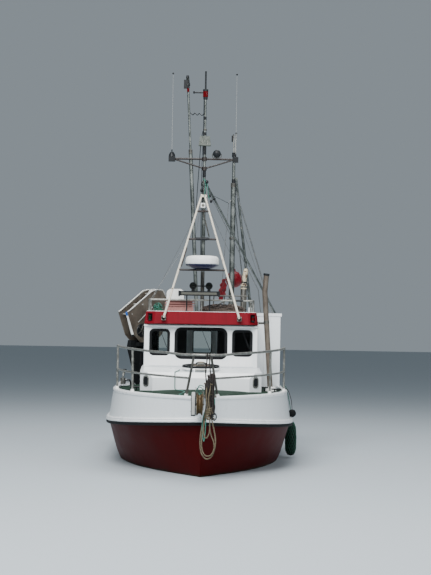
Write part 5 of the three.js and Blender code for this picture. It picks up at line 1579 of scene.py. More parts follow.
@dataclass
class RoofGear(Assembly):
    """What stands on the wheelhouse roof ahead of and between the masts."""

    rail_z: float = 3.035
    rail_half: float = 0.985
    box_low: tuple[float, float] = (-0.69, -1.0)
    box_high: tuple[float, float] = (-0.13, -0.64)

    def build_rail(self) -> None:
        """The low rail round the roof."""
        h, z = self.rail_half, self.rail_z
        shape = Shape(Surface.ALUMINIUM)
        shape.pipes([[(-h, 0.7, z), (-h, -1.02, z), (h, -1.02, z), (h, 0.7, z)]], 0.016, 0.06)
        posts = [(-h, 0.7), (h, 0.7), (-h, -0.98), (h, -0.98), (-h, -0.16), (h, -0.16), (0, -1.02)]
        shape.pipes([[(x, y, ROOF), (x, y, z)] for x, y in posts], 0.0135)
        for x, y in posts:
            shape.post((x, y, ROOF), ROOF + 0.008, 0.03)
        shape.use(Surface.BLACK).bar((0.62, -1.02, z), (0.78, -1.02, z), 0.0185)
        shape.bar((-h, 0.69, z), (-h, 0.705, z), 0.018)
        shape.finish("roof_rail_formed", replaces=["roof_rail"])

    def build_box(self) -> None:
        """Two ribbed fish boxes, one in the other."""
        shape = Shape(Surface.BOX)
        (x0, y0), (x1, y1) = self.box_low, self.box_high
        for inset, low, high in (
            (0.02, ROOF + 0.0005, 2.9), (0.004, 2.915, 2.933), (0.0, 2.963, 2.981), (0.0, 3.009, 3.027),
            (0.042, 2.9, 3.014),
        ):
            shape.box((x0 + inset, y0 + inset, low), (x1 - inset, y1 - inset, high))
        ribs = [(x0 + 0.06 + i * 0.055, y, 2.876) for i in range(9) for y in (y0 + 0.02, y1 - 0.02)]
        shape.bolts(ribs, 0.008, 0.108, (0, 0, 1), 8)
        shape.finish("fish_boxes", replaces=["roof_box"], bevel=0.005)

    def build_canister(self) -> None:
        """The liferaft canister, its two halves, straps and cradles."""
        shape = Shape(Surface.WHITE_PLASTIC)
        for y0, y1, grow in ((-0.26, 0.38, 0.0), (-0.245, 0.365, 0.004), (0.052, 0.068, 0.01)):
            outline = rounded_rect((-0.665 - grow, 2.88 - grow), (-0.335 + grow, 3.25 + grow), 0.09, 8)
            shape.prism("y", outline, y0, y1)
        straps = (-0.13, 0.25)
        band = rounded_rect((-0.67, 2.876), (-0.33, 3.255), 0.092, 8)
        shape.use(Surface.BLACK)
        for y in straps:
            shape.pipes([[Vector((x, y, z)) for x, z in band]], 0.006, 0.0, 6, closed=True)
        shape.use(Surface.ALUMINIUM)
        for y in straps:
            shape.box((-0.64, y - 0.025, ROOF + 0.0003), (-0.36, y + 0.025, 2.882))
        shape.finish("liferaft_formed", replaces=["liferaft"], bevel=0.006, angle=40)

    def build_light_bar(self) -> None:
        """The long light bar with its brackets."""
        shape = Shape(Surface.BLACK)
        shape.box((-0.41, -1.25, 3.113), (0.305, -1.18, 3.2))
        shape.use(Surface.LENS).box((-0.385, -1.256, 3.133), (0.28, -1.249, 3.178))
        shape.use(Surface.BLACK)
        for x in (-0.44, 0.305):
            shape.box((x, -1.262, 3.1), (x + 0.034, -1.165, 3.205))
        for x in (-0.28, 0.15):
            shape.pipes([[(x, -1.21, ROOF), (x, -1.21, 3.12)]], 0.012)
            shape.post((x, -1.21, ROOF), ROOF + 0.01, 0.035)
        shape.finish("light_bar", bevel=0.003)

    def build_lamps(self) -> None:
        """The two round work lamps on the mast."""
        lamps = Shape(Surface.BLACK)
        lamps.pipes([[(-0.165, -0.56, 3.31), (0.142, -0.56, 3.31)]], 0.012)
        cup = [
            (0, 0), (0.03, 0.0), (0.05, 0.03), (0.066, 0.07), (0.069, 0.115), (0.06, 0.118), (0.057, 0.108),
        ]
        for x in (-0.164, 0.141):
            place = frame_along((x, -0.5, 3.33), (x, -0.62, 3.31))
            lamps.use(Surface.BLACK).turned([*cup, (0, 0.107)], place, 28)
            lamps.use(Surface.SMOKED).turned([(0, 0.1), (0.052, 0.102), (0.05, 0.112), (0, 0.116)], place, 24)
            lamps.use(Surface.BLACK).post((x, -0.56, 3.3), 3.22, 0.014)
            lamps.box((x - 0.03, -0.6, 3.2), (x + 0.03, -0.53, 3.245))
        lamps.finish("work_lamps")

    def add_heap(
        self, name: str, surfaces: tuple[Surface, Surface], low: Point, high: Point, lines: int, seed: int
    ) -> None:
        """A lumpy heap with loose lines over it.

        Args:
            name: the heap's name.
            surfaces: the heap's finish and most of its lines'.
            low: its lowest corner.
            high: its highest corner.
            lines: how many lines lie over it.
            seed: of what varies.
        """
        rng = random.Random(seed)
        shape = Shape(surfaces[0])
        centre = [(a + b) / 2 for a, b in zip(low, high)]
        reach = [(b - a) / 2 for a, b in zip(low, high)]
        rings = []
        for i in range(1, 18):
            rise = math.pi / 2 * i / 18
            ring = []
            for turn in turns(56):
                flat = math.cos(rise)
                way = Vector((math.cos(turn) * flat, math.sin(turn) * flat, math.sin(rise)))
                lump = 0.8 + 0.3 * noise.noise(way * 3.1 + Vector((0, 0, seed)))
                lump += 0.12 * noise.noise(way * 11 + Vector((seed, 0, 0)))
                height = low[2] + 1.56 * reach[2] * way.z * lump
                x, y = (centre[i] + reach[i] * way[i] * lump for i in (0, 1))
                ring.append((x, y, height))
            rings.append(ring)
        shape.skin([[(x, y, low[2]) for x, y, _ in rings[0]], *rings])
        for _ in range(lines):
            around, span = rng.uniform(0, math.tau), rng.uniform(0.5, 1.6)
            path = []
            for k in range(6):
                turn, lift = around + span * k / 5, rng.uniform(0.35, 1.0)
                wide = math.sqrt(max(0.05, 1 - lift**2)) * 0.95
                way = (math.cos(turn), math.sin(turn))
                x, y = (centre[i] + reach[i] * way[i] * wide for i in (0, 1))
                path.append((x, y, low[2] + 1.68 * reach[2] * lift))
            shape.use(surfaces[1] if rng.random() < 0.6 else surfaces[0])
            shape.hose(path, rng.uniform(0.004, 0.007), 6)
        shape.finish(name, angle=70)

    def build_heaps(self) -> None:
        """The nets and lines stowed behind the rail, and the struts of the stand among them."""
        green, brown = (Surface.NET, Surface.TEAL_ROPE), (Surface.BROWN_NET, Surface.DARK_ROPE)
        self.add_heap("green_net_bundle", green, (-0.93, -0.97, ROOF + 0.002), (-0.72, -0.66, 3.01), 16, 11)
        self.add_heap("brown_net_heap", brown, (-0.08, -0.96, ROOF + 0.002), (0.9, -0.62, 3.0), 44, 12)
        stand = Shape(Surface.DARK_TUBE)
        for x in (0.22, 0.42, 0.6, 0.8):
            stand.pipes([[(x, -0.58, ROOF + 0.0003), (x + 0.02, -0.58, 3.14)]], 0.011, 0.0, 8)
        rungs = [[(0.16, -0.58, 3.13), (0.88, -0.58, 3.13)], [(0.2, -0.57, 2.9), (0.62, -0.57, 3.12)]]
        stand.pipes(rungs, 0.012, 0.0, 8).finish("net_stand")


@dataclass
class Masts(Assembly):
    """The radar frame, the masts, the crosstree, the boom and the stays."""

    mast: tuple[float, float] = (0.015, -0.5)
    foot: tuple[float, float, float] = (0.705, -1.404, 2.69)
    apex: tuple[float, float, float] = (0.03, -0.59, 5.04)
    dome: tuple[float, float, float] = (0, -1.02, 3.6193)
    crosstree_z: float = 5.745
    crosstree_half: float = 0.6

    def leg(self, side: int, z: float) -> Vector:
        """The radar frame's leg on one side at a height."""
        share = (z - self.foot[2]) / (self.apex[2] - self.foot[2])
        x, y = (lerp(self.foot[i], self.apex[i], share) for i in (0, 1))
        return Vector((side * x, y, z))

    def main(self, z: float) -> Point:
        """The main mast's middle line at a height."""
        return (*self.mast, z)

    def signal(self, z: float) -> Vector:
        """The signal mast's middle line at a height."""
        return Vector((lerp(-0.08, -0.335, (z - ROOF) / 4.63), 0.55, z))

    def derrick(self, z: float) -> Vector:
        """The derrick mast's middle line at a height."""
        return Vector((lerp(0.612, 0.624, (z - 0.4) / 5.0), 1.3, z))

    def build_frame(self) -> None:
        """The cream frame: two legs, three rungs, the foot plates, the radar's shelf and a lamp."""
        shape = Shape(Surface.CREAM)
        for side in (1, -1):
            shape.use(Surface.CREAM).bar(self.leg(side, 2.69), self.leg(side, 5.06), 0.0215, 0.019)
            x, y = side * self.foot[0], self.foot[1]
            shape.use(Surface.ALUMINIUM).box((x - 0.04, y - 0.01, 2.65), (x + 0.04, -1.331, 2.73))
            shape.bar((x, y + 0.03, 2.69), (x, y - 0.01, 2.69), 0.045, sides=28)
        shape.use(Surface.TARRED_IRON)
        for z in (3.6, 4.19, 4.73):
            shape.bar(self.leg(-1, z), self.leg(1, z), 0.019)
        shelf, brace, lamp = self.leg(1, 3.6).y, self.leg(1, 4.19).y, self.leg(1, 4.85).y - 0.04
        shape.prism("z", rounded_rect((-0.11, shelf - 0.09), (0.11, shelf + 0.15), 0.03), 3.605, 3.619)
        rod = [self.leg(-1, z) + Vector((out, 0, 0)) for z, out in ((3.66, 0.035), (4.02, 0.03))]
        shape.pipes([rod], 0.01)
        shape.use(Surface.BLACK).bar((-0.133, brace, 4.2), (0.131, brace, 4.2), 0.026)
        shape.box((-0.105, shelf + 0.13, 4.165), (0.085, shelf + 0.2, 4.2))
        shape.use(Surface.CREAM).prism("z", rounded_rect((-0.045, -0.62), (0.075, -0.5), 0.02), 5.01, 5.05)
        shape.use(Surface.WHITE_PLASTIC).box((-0.045, lamp - 0.05, 4.8), (0.042, lamp + 0.03, 4.885))
        shape.use(Surface.LENS).bar((0.0, lamp - 0.056, 4.842), (0.0, lamp - 0.046, 4.842), 0.03)
        spots = [s * self.foot[0] + shift for s in (-1, 1) for shift in (-0.027, 0.027)]
        heads = [(x, -1.4145, z) for x in spots for z in (2.665, 2.715)]
        shape.use(Surface.ALUMINIUM).bolts(heads, 0.007, 0.006, (0, 1, 0))
        shape.finish("radar_frame", replaces=["a_frame"], bevel=0.002)

    def build_radome(self) -> None:
        """The radar's white dome over its tapered navy base."""
        lower = [(0, 0), (0.148, 0), (0.16, 0.006), (0.23, 0.028), (0.296, 0.062), (0.312, 0.08)]
        seam = [(0.306, 0.086), (0.306, 0.09), (0.314, 0.096)]
        upper = [
            (0.316, 0.12), (0.315, 0.165), (0.309, 0.197), (0.294, 0.224), (0.267, 0.241), (0.204, 0.251),
        ]
        profile = [*lower, *seam, *upper, (0.1, 0.255), (0, 0.256)]
        shape = Shape(Surface.RADOME).turned(profile, Matrix.Translation(self.dome), 64)
        shape.finish("radar_dome", replaces=["radome"], angle=50)

    def build_main_mast(self) -> None:
        """The stepped mast with its red lantern, arm and radar reflector."""
        x, y = self.mast
        tube, dark, black = Surface.MAST, Surface.DARK_TUBE, Surface.BLACK
        shape = Shape(tube).along(self.main, (
            (tube, ROOF, 5.3, 0.0375), (tube, 5.29, 6.32, 0.027), (tube, 6.31, 6.9, 0.022),
            (black, 7.08, 7.435, 0.0165), (dark, 2.9, 3.58, 0.0376), (dark, ROOF, 2.834, 0.09, 0.0, 32),
            (dark, 5.28, 5.315, 0.042), (dark, 6.29, 6.325, 0.034), (black, 5.4, 5.52, 0.032),
            (black, 5.83, 5.985, 0.031), (black, 6.2, 6.26, 0.03), (black, 6.5, 6.56, 0.027),
            (Surface.RED_LENS, 6.935, 7.045, 0.05, 0.0, 28), (black, 6.89, 6.937, 0.042),
            (black, 7.043, 7.085, 0.051),
        ))
        shape.bar((x, y, 7.02), (x - 0.23, y, 7.02), 0.0135).post((x - 0.222, y, 7.0), 7.045, 0.017)
        sides = [(x - 0.118, 6.0), (x + 0.118, 6.0), (x + 0.093, 6.18), (x - 0.093, 6.18)]
        shape.use(Surface.REFLECTOR).prism("y", sides, y - 0.079, y + 0.079)
        ribs = [(x + side * 0.05, y - 0.0795, 6.09) for side in (-1, 0, 1)]
        shape.use(Surface.ALUMINIUM).bolts(ribs, 0.005, 0.16, (0, 0, 1), 6)
        shape.finish("main_mast_formed", replaces=["main_mast"], bevel=0.002)

    def build_cables(self) -> None:
        """The cable down the mast, the wavy one between the masts, and the tackle at the frame's head."""
        x, y = self.mast
        cable = Shape(Surface.BLACK)
        for radius, line in (
            (0.006, ((-0.045, -0.04, 3.7), (-0.05, -0.05, 4.6), (-0.048, -0.045, 5.6), (-0.032, -0.03, 6.2),
                     (-0.03, -0.03, 6.88))),
            (0.007, ((-0.04, 0.0, 6.28), (-0.07, 0.0, 6.1), (-0.1, 0.0, 5.6), (-0.13, 0.0, 5.1),
                     (-0.14, -0.02, 4.78))),
        ):
            cable.hose([(x + a, y + b, z) for a, b, z in line], radius, spacing=0.08)
        far = self.signal(6.56).x + 0.02
        rise = [6.6 + 0.023 * i + 0.018 * (-1) ** i for i in range(7)]
        wave = [(lerp(x - 0.02, far, i / 6), lerp(y, 0.54, i / 6), z) for i, z in enumerate(rise)]
        cable.hose(wave, 0.009, spacing=0.02)
        for a, b, z, r in (
            (0.05, -0.06, 5.3, 0.034), (0.1, -0.02, 5.04, 0.034),
            (0.14, 0.0, 4.94, 0.028), (-0.05, -0.05, 5.14, 0.026),
        ):
            cable.use(Surface.BLACK).ball((x + a, y + b, z), r, 16)
            cable.bar((x + a - 0.02, y + b, z), (x + a + 0.02, y + b, z), r * 1.15)
        cable.use(Surface.TEAL_ROPE)
        for line in (
            [(0.0, -0.57, 5.36), (0.06, -0.58, 5.3), (0.09, -0.57, 5.12), (0.12, -0.55, 4.96)],
            [(0.02, -0.6, 5.34), (0.04, -0.62, 5.2), (0.02, -0.62, 5.02)],
        ):
            cable.hose(line, 0.007)
        cable.use(Surface.DARK_TUBE).pipes([[(-0.002, -0.66, 4.74), (0.128, -0.6, 4.25)]], 0.013, 0.0, 10)
        cable.finish("mast_cables", angle=60)

    def build_crosstree(self) -> None:
        """The crosstree with its braces, antenna bases, whips and searchlight."""
        x, y = self.mast
        z, half, black = self.crosstree_z, self.crosstree_half, Surface.BLACK
        shape = Shape(Surface.TARRED_IRON)
        shape.bar((-half, y, z), (half, y, z), 0.019)
        for side in (-1, 1):
            shape.bar((x, y, 5.56), (side * (half - 0.04), y, z - 0.012), 0.0145)
        for height in (z, 5.56):
            shape.post((x, y, height - 0.035), height + 0.035, 0.045, sides=28)
        for side, reach, top in ((-1, 0.064, 5.87), (1, 0.052, 5.8)):
            middle, base = side * 0.61, side * (half + 0.012)
            shape.use(black).box((middle - reach, y - 0.055, 5.69), (middle + reach, y + 0.055, 5.79))
            cone = [(reach, 5.78), (reach * 0.9, lerp(5.78, top, 0.5)), (reach * 0.5, top)]
            shape.turned([(0, 5.78), *cone, (0, top)], Matrix.Translation((middle, y, 0)), 24)
            shape.post((base, y, top - 0.01), top + 0.05, 0.011)
            shape.use(Surface.GREY_PLASTIC).post((base, y, top + 0.03), 7.37, 0.0026, 0.0016, 8)
            shape.use(black).ball((base, y, 7.38), 0.018, 14)
        lamp = frame_along((0.25, y - 0.12, 5.85), (0.25, y + 0.04, 5.85))
        shell = [
            (0, 0), (0.035, 0.004), (0.058, 0.02), (0.072, 0.055), (0.077, 0.12), (0.068, 0.123),
            (0.064, 0.11),
        ]
        shape.turned([*shell, (0, 0.105)], lamp, 32)
        shape.use(Surface.LENS).turned([(0, 0.1), (0.062, 0.102), (0.06, 0.114), (0, 0.118)], lamp, 24)
        shape.use(Surface.DARK_TUBE).pipes([[(0.25, y - 0.03, 5.79), (0.25, y - 0.03, 5.755)]], 0.013)
        yoke = ((0.165, 5.85), (0.165, 5.775), (0.335, 5.775), (0.335, 5.85))
        shape.pipes([[(a, y - 0.03, b) for a, b in yoke]], 0.007, 0.02, 8)
        shape.finish("crosstree_formed", replaces=["crosstree"], bevel=0.003)

    def build_signal_mast(self) -> None:
        """The raked signal mast with its lamps."""
        at = self.signal
        tube, dark, black = Surface.MAST, Surface.DARK_TUBE, Surface.BLACK
        shape = Shape(tube).along(at, (
            (tube, ROOF, 6.0, 0.0378), (tube, 5.99, 7.25, 0.0218),
            (dark, ROOF + 0.0003, 2.834, 0.085, 0.0, 32), (dark, 5.95, 6.03, 0.0385),
            (black, 7.24, 7.29, 0.03), (black, 7.29, 7.35, 0.044, 0.04), (black, 7.35, 7.41, 0.034),
            (Surface.SMOKED, 7.41, 7.45, 0.03, 0.0, 24), (black, 7.45, 7.5, 0.033, 0.024),
        ))
        ahead = Vector((0, 0.02, 0))
        shape.use(Surface.RED_LENS).bar(at(7.17) - ahead, at(7.24) - ahead, 0.024)
        shape.use(black).box(at(7.24) - Vector((0.085, 0.035, 0)), at(7.24) + Vector((-0.02, 0.035, 0.17)))
        shape.finish("signal_mast_formed", replaces=["signal_mast"], bevel=0.002)

    def build_derrick(self) -> None:
        """The derrick mast with its shoulder, thin top tubes and stay."""
        at = self.derrick
        tube, dark, black = Surface.MAST, Surface.DARK_TUBE, Surface.BLACK
        shape = Shape(tube).along(at, ((tube, WELL, 5.4, 0.0597, 0.051, 32), (tube, 5.38, 6.0, 0.031)))
        shape.use(Surface.ALUMINIUM)
        for x, high in ((0.615, 6.43), (0.662, 6.44)):
            shape.bar((0.624 + (x - 0.624) * 0.6, 1.3, 6.03), (x, 1.3, high), 0.0105)
        shape.along(at, (
            (dark, 5.36, 5.44, 0.054, 0.0, 28), (black, 5.97, 6.06, 0.04), (black, 5.44, 5.52, 0.036),
        ))
        shape.ball((0.662, 1.3, 6.45), 0.021, 14)
        shape.box((0.572, 1.27, 6.28), (0.604, 1.33, 6.4)).bar((0.6, 1.3, 6.39), (0.615, 1.3, 6.43), 0.012)
        shape.use(dark).bar(at(WELL), (at(0.4).x, 1.3, 0.416), 0.13, sides=36)
        shape.along(at, [(dark, z, z + 0.05, 0.0645, 0.0, 28) for z in (2.95, 4.3)])
        shape.use(Surface.WIRE).bar(at(5.3), (0.95, 2.2, ROOF + 0.0003), 0.0118, sides=10)
        heads = [at(0.42) + point for point in circle(0.1, 6)]
        shape.use(Surface.ALUMINIUM).bolts(heads, 0.012, 0.014, (0, 0, 1))
        shape.finish("derrick_mast_formed", replaces=["derrick_mast"])

    def build_boom(self) -> None:
        """The boom on its pin, with the block at its head."""
        hinge, head = Vector((1.034, 1.9, 2.905)), Vector((0.686, 1.6, 5.55))
        shape = Shape(Surface.MAST)
        along = (head - hinge).normalized()
        shape.bar(hinge + along * 0.034, head, 0.0316, 0.024)
        eye = [(0.0166, -0.04), (0.0355, -0.04), (0.0355, 0.04), (0.0166, 0.04)]
        shape.ring(eye, frame_along(hinge, hinge + Vector((0, 1, 0))), 28)
        shape.bar(head - Vector((0, 0.022, 0)), head + Vector((0, 0.022, 0)), 0.0336)
        shape.use(Surface.ALUMINIUM)
        for share in (0.3, 0.62):
            spot = hinge.lerp(head, share)
            shape.bar(spot, spot + along * 0.04, 0.035 - 0.006 * share)
        shape.finish("derrick_boom_formed", "boom", ["derrick_boom"])

    def build_stay(self) -> None:
        """The tube stay to port."""
        top, end = Vector((*self.mast, 5.34)), Vector((1.56, 0.97, 2.7))

        def at(z: float) -> Vector:
            """The stay's middle line at a height."""
            return top.lerp(end, (z - top.z) / (end.z - top.z))

        stay = Shape(Surface.MAST)
        stay.bar(top.lerp(end, 0.016), at(ROOF + 0.0003), 0.0198).post(self.main(5.23), 5.28, 0.06, sides=28)
        stay.use(Surface.BLACK).ball(at(5.3), 0.03, 16).ball(at(5.0), 0.03, 16)
        stay.finish("mast_stay_port_formed", replaces=["mast_stay_port"])

    def build_wires(self) -> None:
        """The wires that hold the masts."""
        link, knee = (0.53, 1.24, 5.03), (1.13, 0.62, 3.28)
        wires = Shape(Surface.WIRE)
        for start, stop, radius in (
            (self.signal(4.62), (-0.96, 0.69, 3.05), 0.004),
            (self.signal(4.4), (-0.985, 0.2, 3.05), 0.004),
            (self.leg(1, 4.85), (0.985, -0.16, 3.05), 0.004),
            (self.derrick(5.1), (1.5, 2.9, ROOF), 0.004),
            (self.derrick(5.35) + Vector((0.03, 0, 0)), (1.47, 1.6, ROOF), 0.014),
            ((0.08, -0.5, 5.1), link, 0.007),
            (link, (0.42, 1.24, 3.3), 0.006),
            (link, self.derrick(5.15), 0.01),
            (self.main(5.3), self.signal(4.1), 0.003),
            ((0.07, -0.5, 5.18), knee, 0.007),
            (knee, (1.2, 0.9, ROOF), 0.009),
        ):
            wires.pipes([[tuple(start), tuple(stop)]], radius, 0.0, 8)
        wires.finish("rigging_wires")


@dataclass
class WorkingGear(Assembly):
    """The net hauler, the shelter, the pipes, the hold and what hangs at the sides."""

    origin: tuple[float, float, float] = (-1.543, 0.85, 0.0)
    angle: float = math.radians(47)
    plate_out: float = 0.126
    axle: tuple[float, float] = (0.62, 2.44)
    disc: tuple[float, float] = (0.39, 2.44)
    stack: tuple[float, float] = (0.86, 1.15)
    fender_at: tuple[float, float] = (1.8, 0.3)
    buoy_radius: float = 0.17

    def at(self, u: float, v: float, z: float) -> Vector:
        """A point in the hauler's frame: u along it and v across its plates."""
        return posed(self.origin, self.angle, "Z") @ Vector((u, v, z))

    def span(self, spot: Point, half: float) -> tuple[Vector, Vector]:
        """Two points in the hauler's frame, as far to either side of a spot on its middle plane."""
        return self.at(spot[0], -half, spot[1]), self.at(spot[0], half, spot[1])

    def add_cheeks(self, shape: Shape) -> None:
        """The two plates with their rolled rims, and the ties between them.

        Args:
            shape: what they are added to.
        """
        out = self.plate_out
        cheek = [
            (0, 2.8), (0.06, 2.83), (0.68, 3.23), (0.84, 3.265), (1.0, 3.255),
            (1.09, 3.13), (1.0, 2.38), (0.72, 2.16), (0.43, 2.16), (0.2, 2.35),
        ]
        plate, rim = Surface.PLATE, Surface.RIM
        for side in (-1, 1):
            place = posed(self.origin, self.angle, "Z")
            shape.use(plate).prism("y", cheek, *sorted((side * 0.1203, side * 0.1317)), place)
            for surface, line, v, radius, bend, sides in (
                (rim, cheek[:6], out, 0.0145, 0.05, 10),
                (plate, (*cheek[5:], cheek[0]), out, 0.0095, 0.02, 8),
                (rim, ((0.3, 2.6), (0.8, 2.98)), out + 0.008, 0.008, 0.0, 8),
            ):
                shape.use(surface).pipes([[self.at(u, side * v, z) for u, z in line]], radius, bend, sides)
        for spot in ((0.13, 2.76), (0.42, 2.96), (0.76, 3.18), (1.02, 3.08), (0.96, 2.42)):
            shape.bar(*self.span(spot, 0.134), 0.0138)
        arch = ((0.7, 3.18), (0.78, 3.25), (0.9, 3.265), (1.0, 3.24), (1.06, 3.12))
        shape.hose([self.at(u, 0.0, z) for u, z in arch], 0.012, 10)

    def add_post(self, shape: Shape) -> None:
        """The hauler's post with its head plate, gusset and hoses.

        Args:
            shape: what they are added to.
        """
        at = self.at
        place = posed(self.origin, self.angle, "Z")
        shape.use(Surface.RUBBER).bar(at(0.5, 0, WELL), at(0.5, 0, 2.15), 0.0696, sides=32)
        shape.bar(at(0.5, 0, WELL), at(0.5, 0, 0.418), 0.15, sides=36)
        shape.prism("z", rectangle((0.33, -0.14), (0.67, 0.14)), 2.12, 2.2, place)
        gusset = [(0.2, 2.24), (0.17, 2.1), (0.32, 1.68), (0.45, 1.3), (0.5, 1.3), (0.5, 2.24)]
        shape.prism("y", gusset, -0.05, 0.05, place)
        for u, v, radius in ((0.58, -0.07, 0.02), (0.6, 0.07, 0.017), (0.42, 0.075, 0.015)):
            line = [at(u, v, 0.6), at(u + 0.01, v * 1.1, 1.4), at(u, v, 2.0), at(0.66, v * 1.4, 2.24)]
            shape.hose(line, radius, 10, 0.05)

    def add_discs(self, shape: Shape) -> None:
        """The axle with its bearings, the spoked discs and the guide roller.

        Args:
            shape: what they are added to.
        """
        at, (u, z), axle = self.at, self.disc, self.axle
        shape.use(Surface.DARK_TUBE).bar(*self.span(axle, 0.152), 0.0148)
        for side in (-1, 1):
            inner = self.at(axle[0], side * 0.1325, axle[1])
            shape.bar(inner, at(axle[0], side * 0.145, axle[1]), 0.06)
            shape.use(Surface.BLACK).bar(inner, at(axle[0], side * 0.1355, axle[1]), 0.1, sides=32)
        for side in (-1, 1):
            hub, face, far = (at(u, side * v, z) for v in (0.132, 0.15, 0.168))
            shape.use(Surface.BLACK).bar(hub, face, 0.132, 0.124, 36)
            shape.use(Surface.DARK_TUBE).bar(face, far, 0.035)
            for a in turns(5):
                rim = at(u + 0.116 * math.cos(a), side * 0.152, z + 0.116 * math.sin(a))
                shape.bar(at(u, side * 0.152, z), rim, 0.0085, sides=10)
        for surface, top, foot, radius in (
            (Surface.WHITE_PLASTIC, (0.05, 2.78), (0.225, 2.34), 0.0415),
            (Surface.BLUE_CAP, (0.046, 2.8), (0.066, 2.74), 0.046),
            (Surface.BLACK, (0.215, 2.366), (0.23, 2.33), 0.044),
        ):
            ends = (at(spot[0], -0.08, spot[1]) for spot in (top, foot))
            shape.use(surface).bar(*ends, radius, sides=28)
        ring = [(axle[0] + 0.045 * math.cos(a), axle[1] + 0.045 * math.sin(a)) for a in turns(6)]
        heads = [at(a, side * 0.147, b) for side in (-1, 1) for a, b in ring]
        facing = posed(self.origin, self.angle, "Z").to_3x3() @ Vector((0, 1, 0))
        shape.use(Surface.ALUMINIUM).bolts(heads, 0.006, 0.006, facing)

    def build_hauler(self) -> None:
        """The net hauler's frame: plates, post and discs."""
        shape = Shape(Surface.PLATE)
        for add in (self.add_cheeks, self.add_post, self.add_discs):
            add(shape)
        shape.finish("net_hauler_formed", replaces=["net_hauler_frame"])

    def build_drum(self) -> None:
        """The hauler's grooved and ribbed rubber drum."""
        drum = Shape(Surface.RUBBER)
        spot = Matrix.Translation((self.axle[0], 0, self.axle[1]))
        axis = posed(self.origin, self.angle, "Z") @ spot @ Matrix.Rotation(-math.pi / 2, 4, "X")
        half = [(0.15, 0.096), (0.15, 0.072), (0.12, 0.045), (0.088, 0.02)]
        groove = [*((r, -h) for r, h in half), (0.085, 0.0), *reversed(half)]
        drum.ring([(0.0158, -0.096), (0.14, -0.0958), *groove, (0.14, 0.0958), (0.0158, 0.096)], axis)
        ribs = [axis @ point for side in (-1, 1) for point in circle(0.1, 18, side * 0.034)]
        drum.bolts(ribs, 0.006, 0.03, axis.to_3x3() @ Vector((0, 0, 1)), 8)
        drum.finish("hauler_drum_formed", "hauler_drum", ["hauler_sheave"], angle=45)

    def build_controls(self) -> None:
        """The hauler's valve block and levers on the starboard bulwark, with its hoses."""
        shape = Shape(Surface.DARK_TUBE)
        shape.box((-1.555, 0.42, 1.381), (-1.46, 0.66, 1.5))
        for i, y in enumerate((0.46, 0.54, 0.62)):
            lever = (-1.5 + 0.02 * i, y - 0.02, 1.66)
            shape.use(Surface.ALUMINIUM).bar((-1.51, y, 1.49), lever, 0.008, sides=10)
            shape.use(Surface.BLACK).ball(lever, 0.017, 14)
            line = [(-1.47, y, 1.44), (-1.38, y + 0.02, 1.46), (-1.36, y + 0.08, 1.25), (-1.35, y + 0.1, 0.9)]
            shape.hose(line, 0.013, 10)
        loop = [(-1.52, 0.7, 1.385), (-1.52, 0.7, 1.6), (-1.5, 0.35, 1.6), (-1.5, 0.35, 1.385)]
        shape.use(Surface.ALUMINIUM).pipes([loop], 0.012, 0.05, 10)
        shape.finish("hauler_controls", bevel=0.003)

    def build_shelter(self) -> None:
        """The shelter: battened side and front panels, and its roof on posts."""
        soften("shelter_wall", Surface.GELCOAT, 0.008)
        soften("shelter_roof", Surface.GELCOAT, 0.006)
        seams = Shape(Surface.GELCOAT)
        for x in (1.16, 1.28, 1.4):
            seams.box((x - 0.012, 0.872, 1.4), (x + 0.012, 0.881, 2.74))
        for y in (1.4, 1.95, 2.5, 3.05):
            seams.box((1.594, y - 0.014, 1.4), (1.604, y + 0.014, 2.74))
        seams.finish("shelter_battens", bevel=0.003)

    def build_stack(self) -> None:
        """The exhaust stack with its stained cream elbow."""
        x, y = self.stack
        stack = Shape(Surface.DARK_TUBE).post((x, y, WELL), 3.35, 0.0621, sides=32)
        bend = [(x, y, 3.33), (x + 0.005, y, 3.47), (x + 0.025, y + 0.025, 3.59), (x + 0.042, y + 0.13, 3.68)]
        stack.use(Surface.PIPE_CREAM).hose(bend, 0.0475, 28, 0.02)
        for z in (3.3, 3.36):
            stack.post((x, y, z), z + 0.025, 0.0655, sides=32)
        stack.use(Surface.BLACK).bar((x + 0.003, y, 3.42), (x + 0.004, y, 3.45), 0.051, sides=28)
        stack.post((x, y, 2.86), 2.9, 0.066, sides=32)
        stack.finish("exhaust_formed", replaces=["exhaust_stack"], angle=50)

    def build_vent(self) -> None:
        """The leaning vent pipe with its black cap, on its plinth."""
        foot = Vector((1.3, -1.4, LINES.deck_z(1.3, 3.5)))
        knee, top = Vector((1.171, -1.4, 3.205)), Vector((1.196, -1.4, 3.52))
        vent = Shape(Surface.PLATE).bar(foot, knee, 0.0498, sides=32)
        vent.ball(knee, 0.05, 24).bar(knee, top, 0.0498, sides=32)
        vent.use(Surface.BLACK).bar((1.193, -1.4, 3.505), (1.199, -1.4, 3.545), 0.0568, sides=32)
        vent.use(Surface.WHITE_PLASTIC).bar(foot, foot + Vector((-0.004, 0, 0.085)), 0.112, 0.098, 36)
        vent.use(Surface.DARK_TUBE).box((1.0705, -1.408, 2.6), (1.185, -1.1, 2.64))
        vent.bar(foot.lerp(knee, 0.68), foot.lerp(knee, 0.71), 0.054, sides=32)
        heads = [foot + point for point in circle(0.083, 6, 0.088)]
        vent.use(Surface.ALUMINIUM).bolts(heads, 0.009, 0.01, (0, 0, 1))
        vent.finish("vent_pipe_formed", replaces=["vent_pipe"])

    def build_cleats(self) -> None:
        """The cleats on the foredeck."""
        cleats = Shape(Surface.BLACK)
        for x, y in ((1.16, -1.62), (1.4, -1.62), (-1.2, -2.0)):
            z = LINES.deck_z(x, y - LINES.stem_y)
            cleats.pipes([[(x - 0.09, y, z + 0.062), (x + 0.09, y, z + 0.062)]], 0.014, 0.0, 12)
            for a in (-0.03, 0.03):
                cleats.post((x + a, y, z - 0.004), z + 0.062, 0.013, sides=12)
        cleats.finish("deck_cleats")

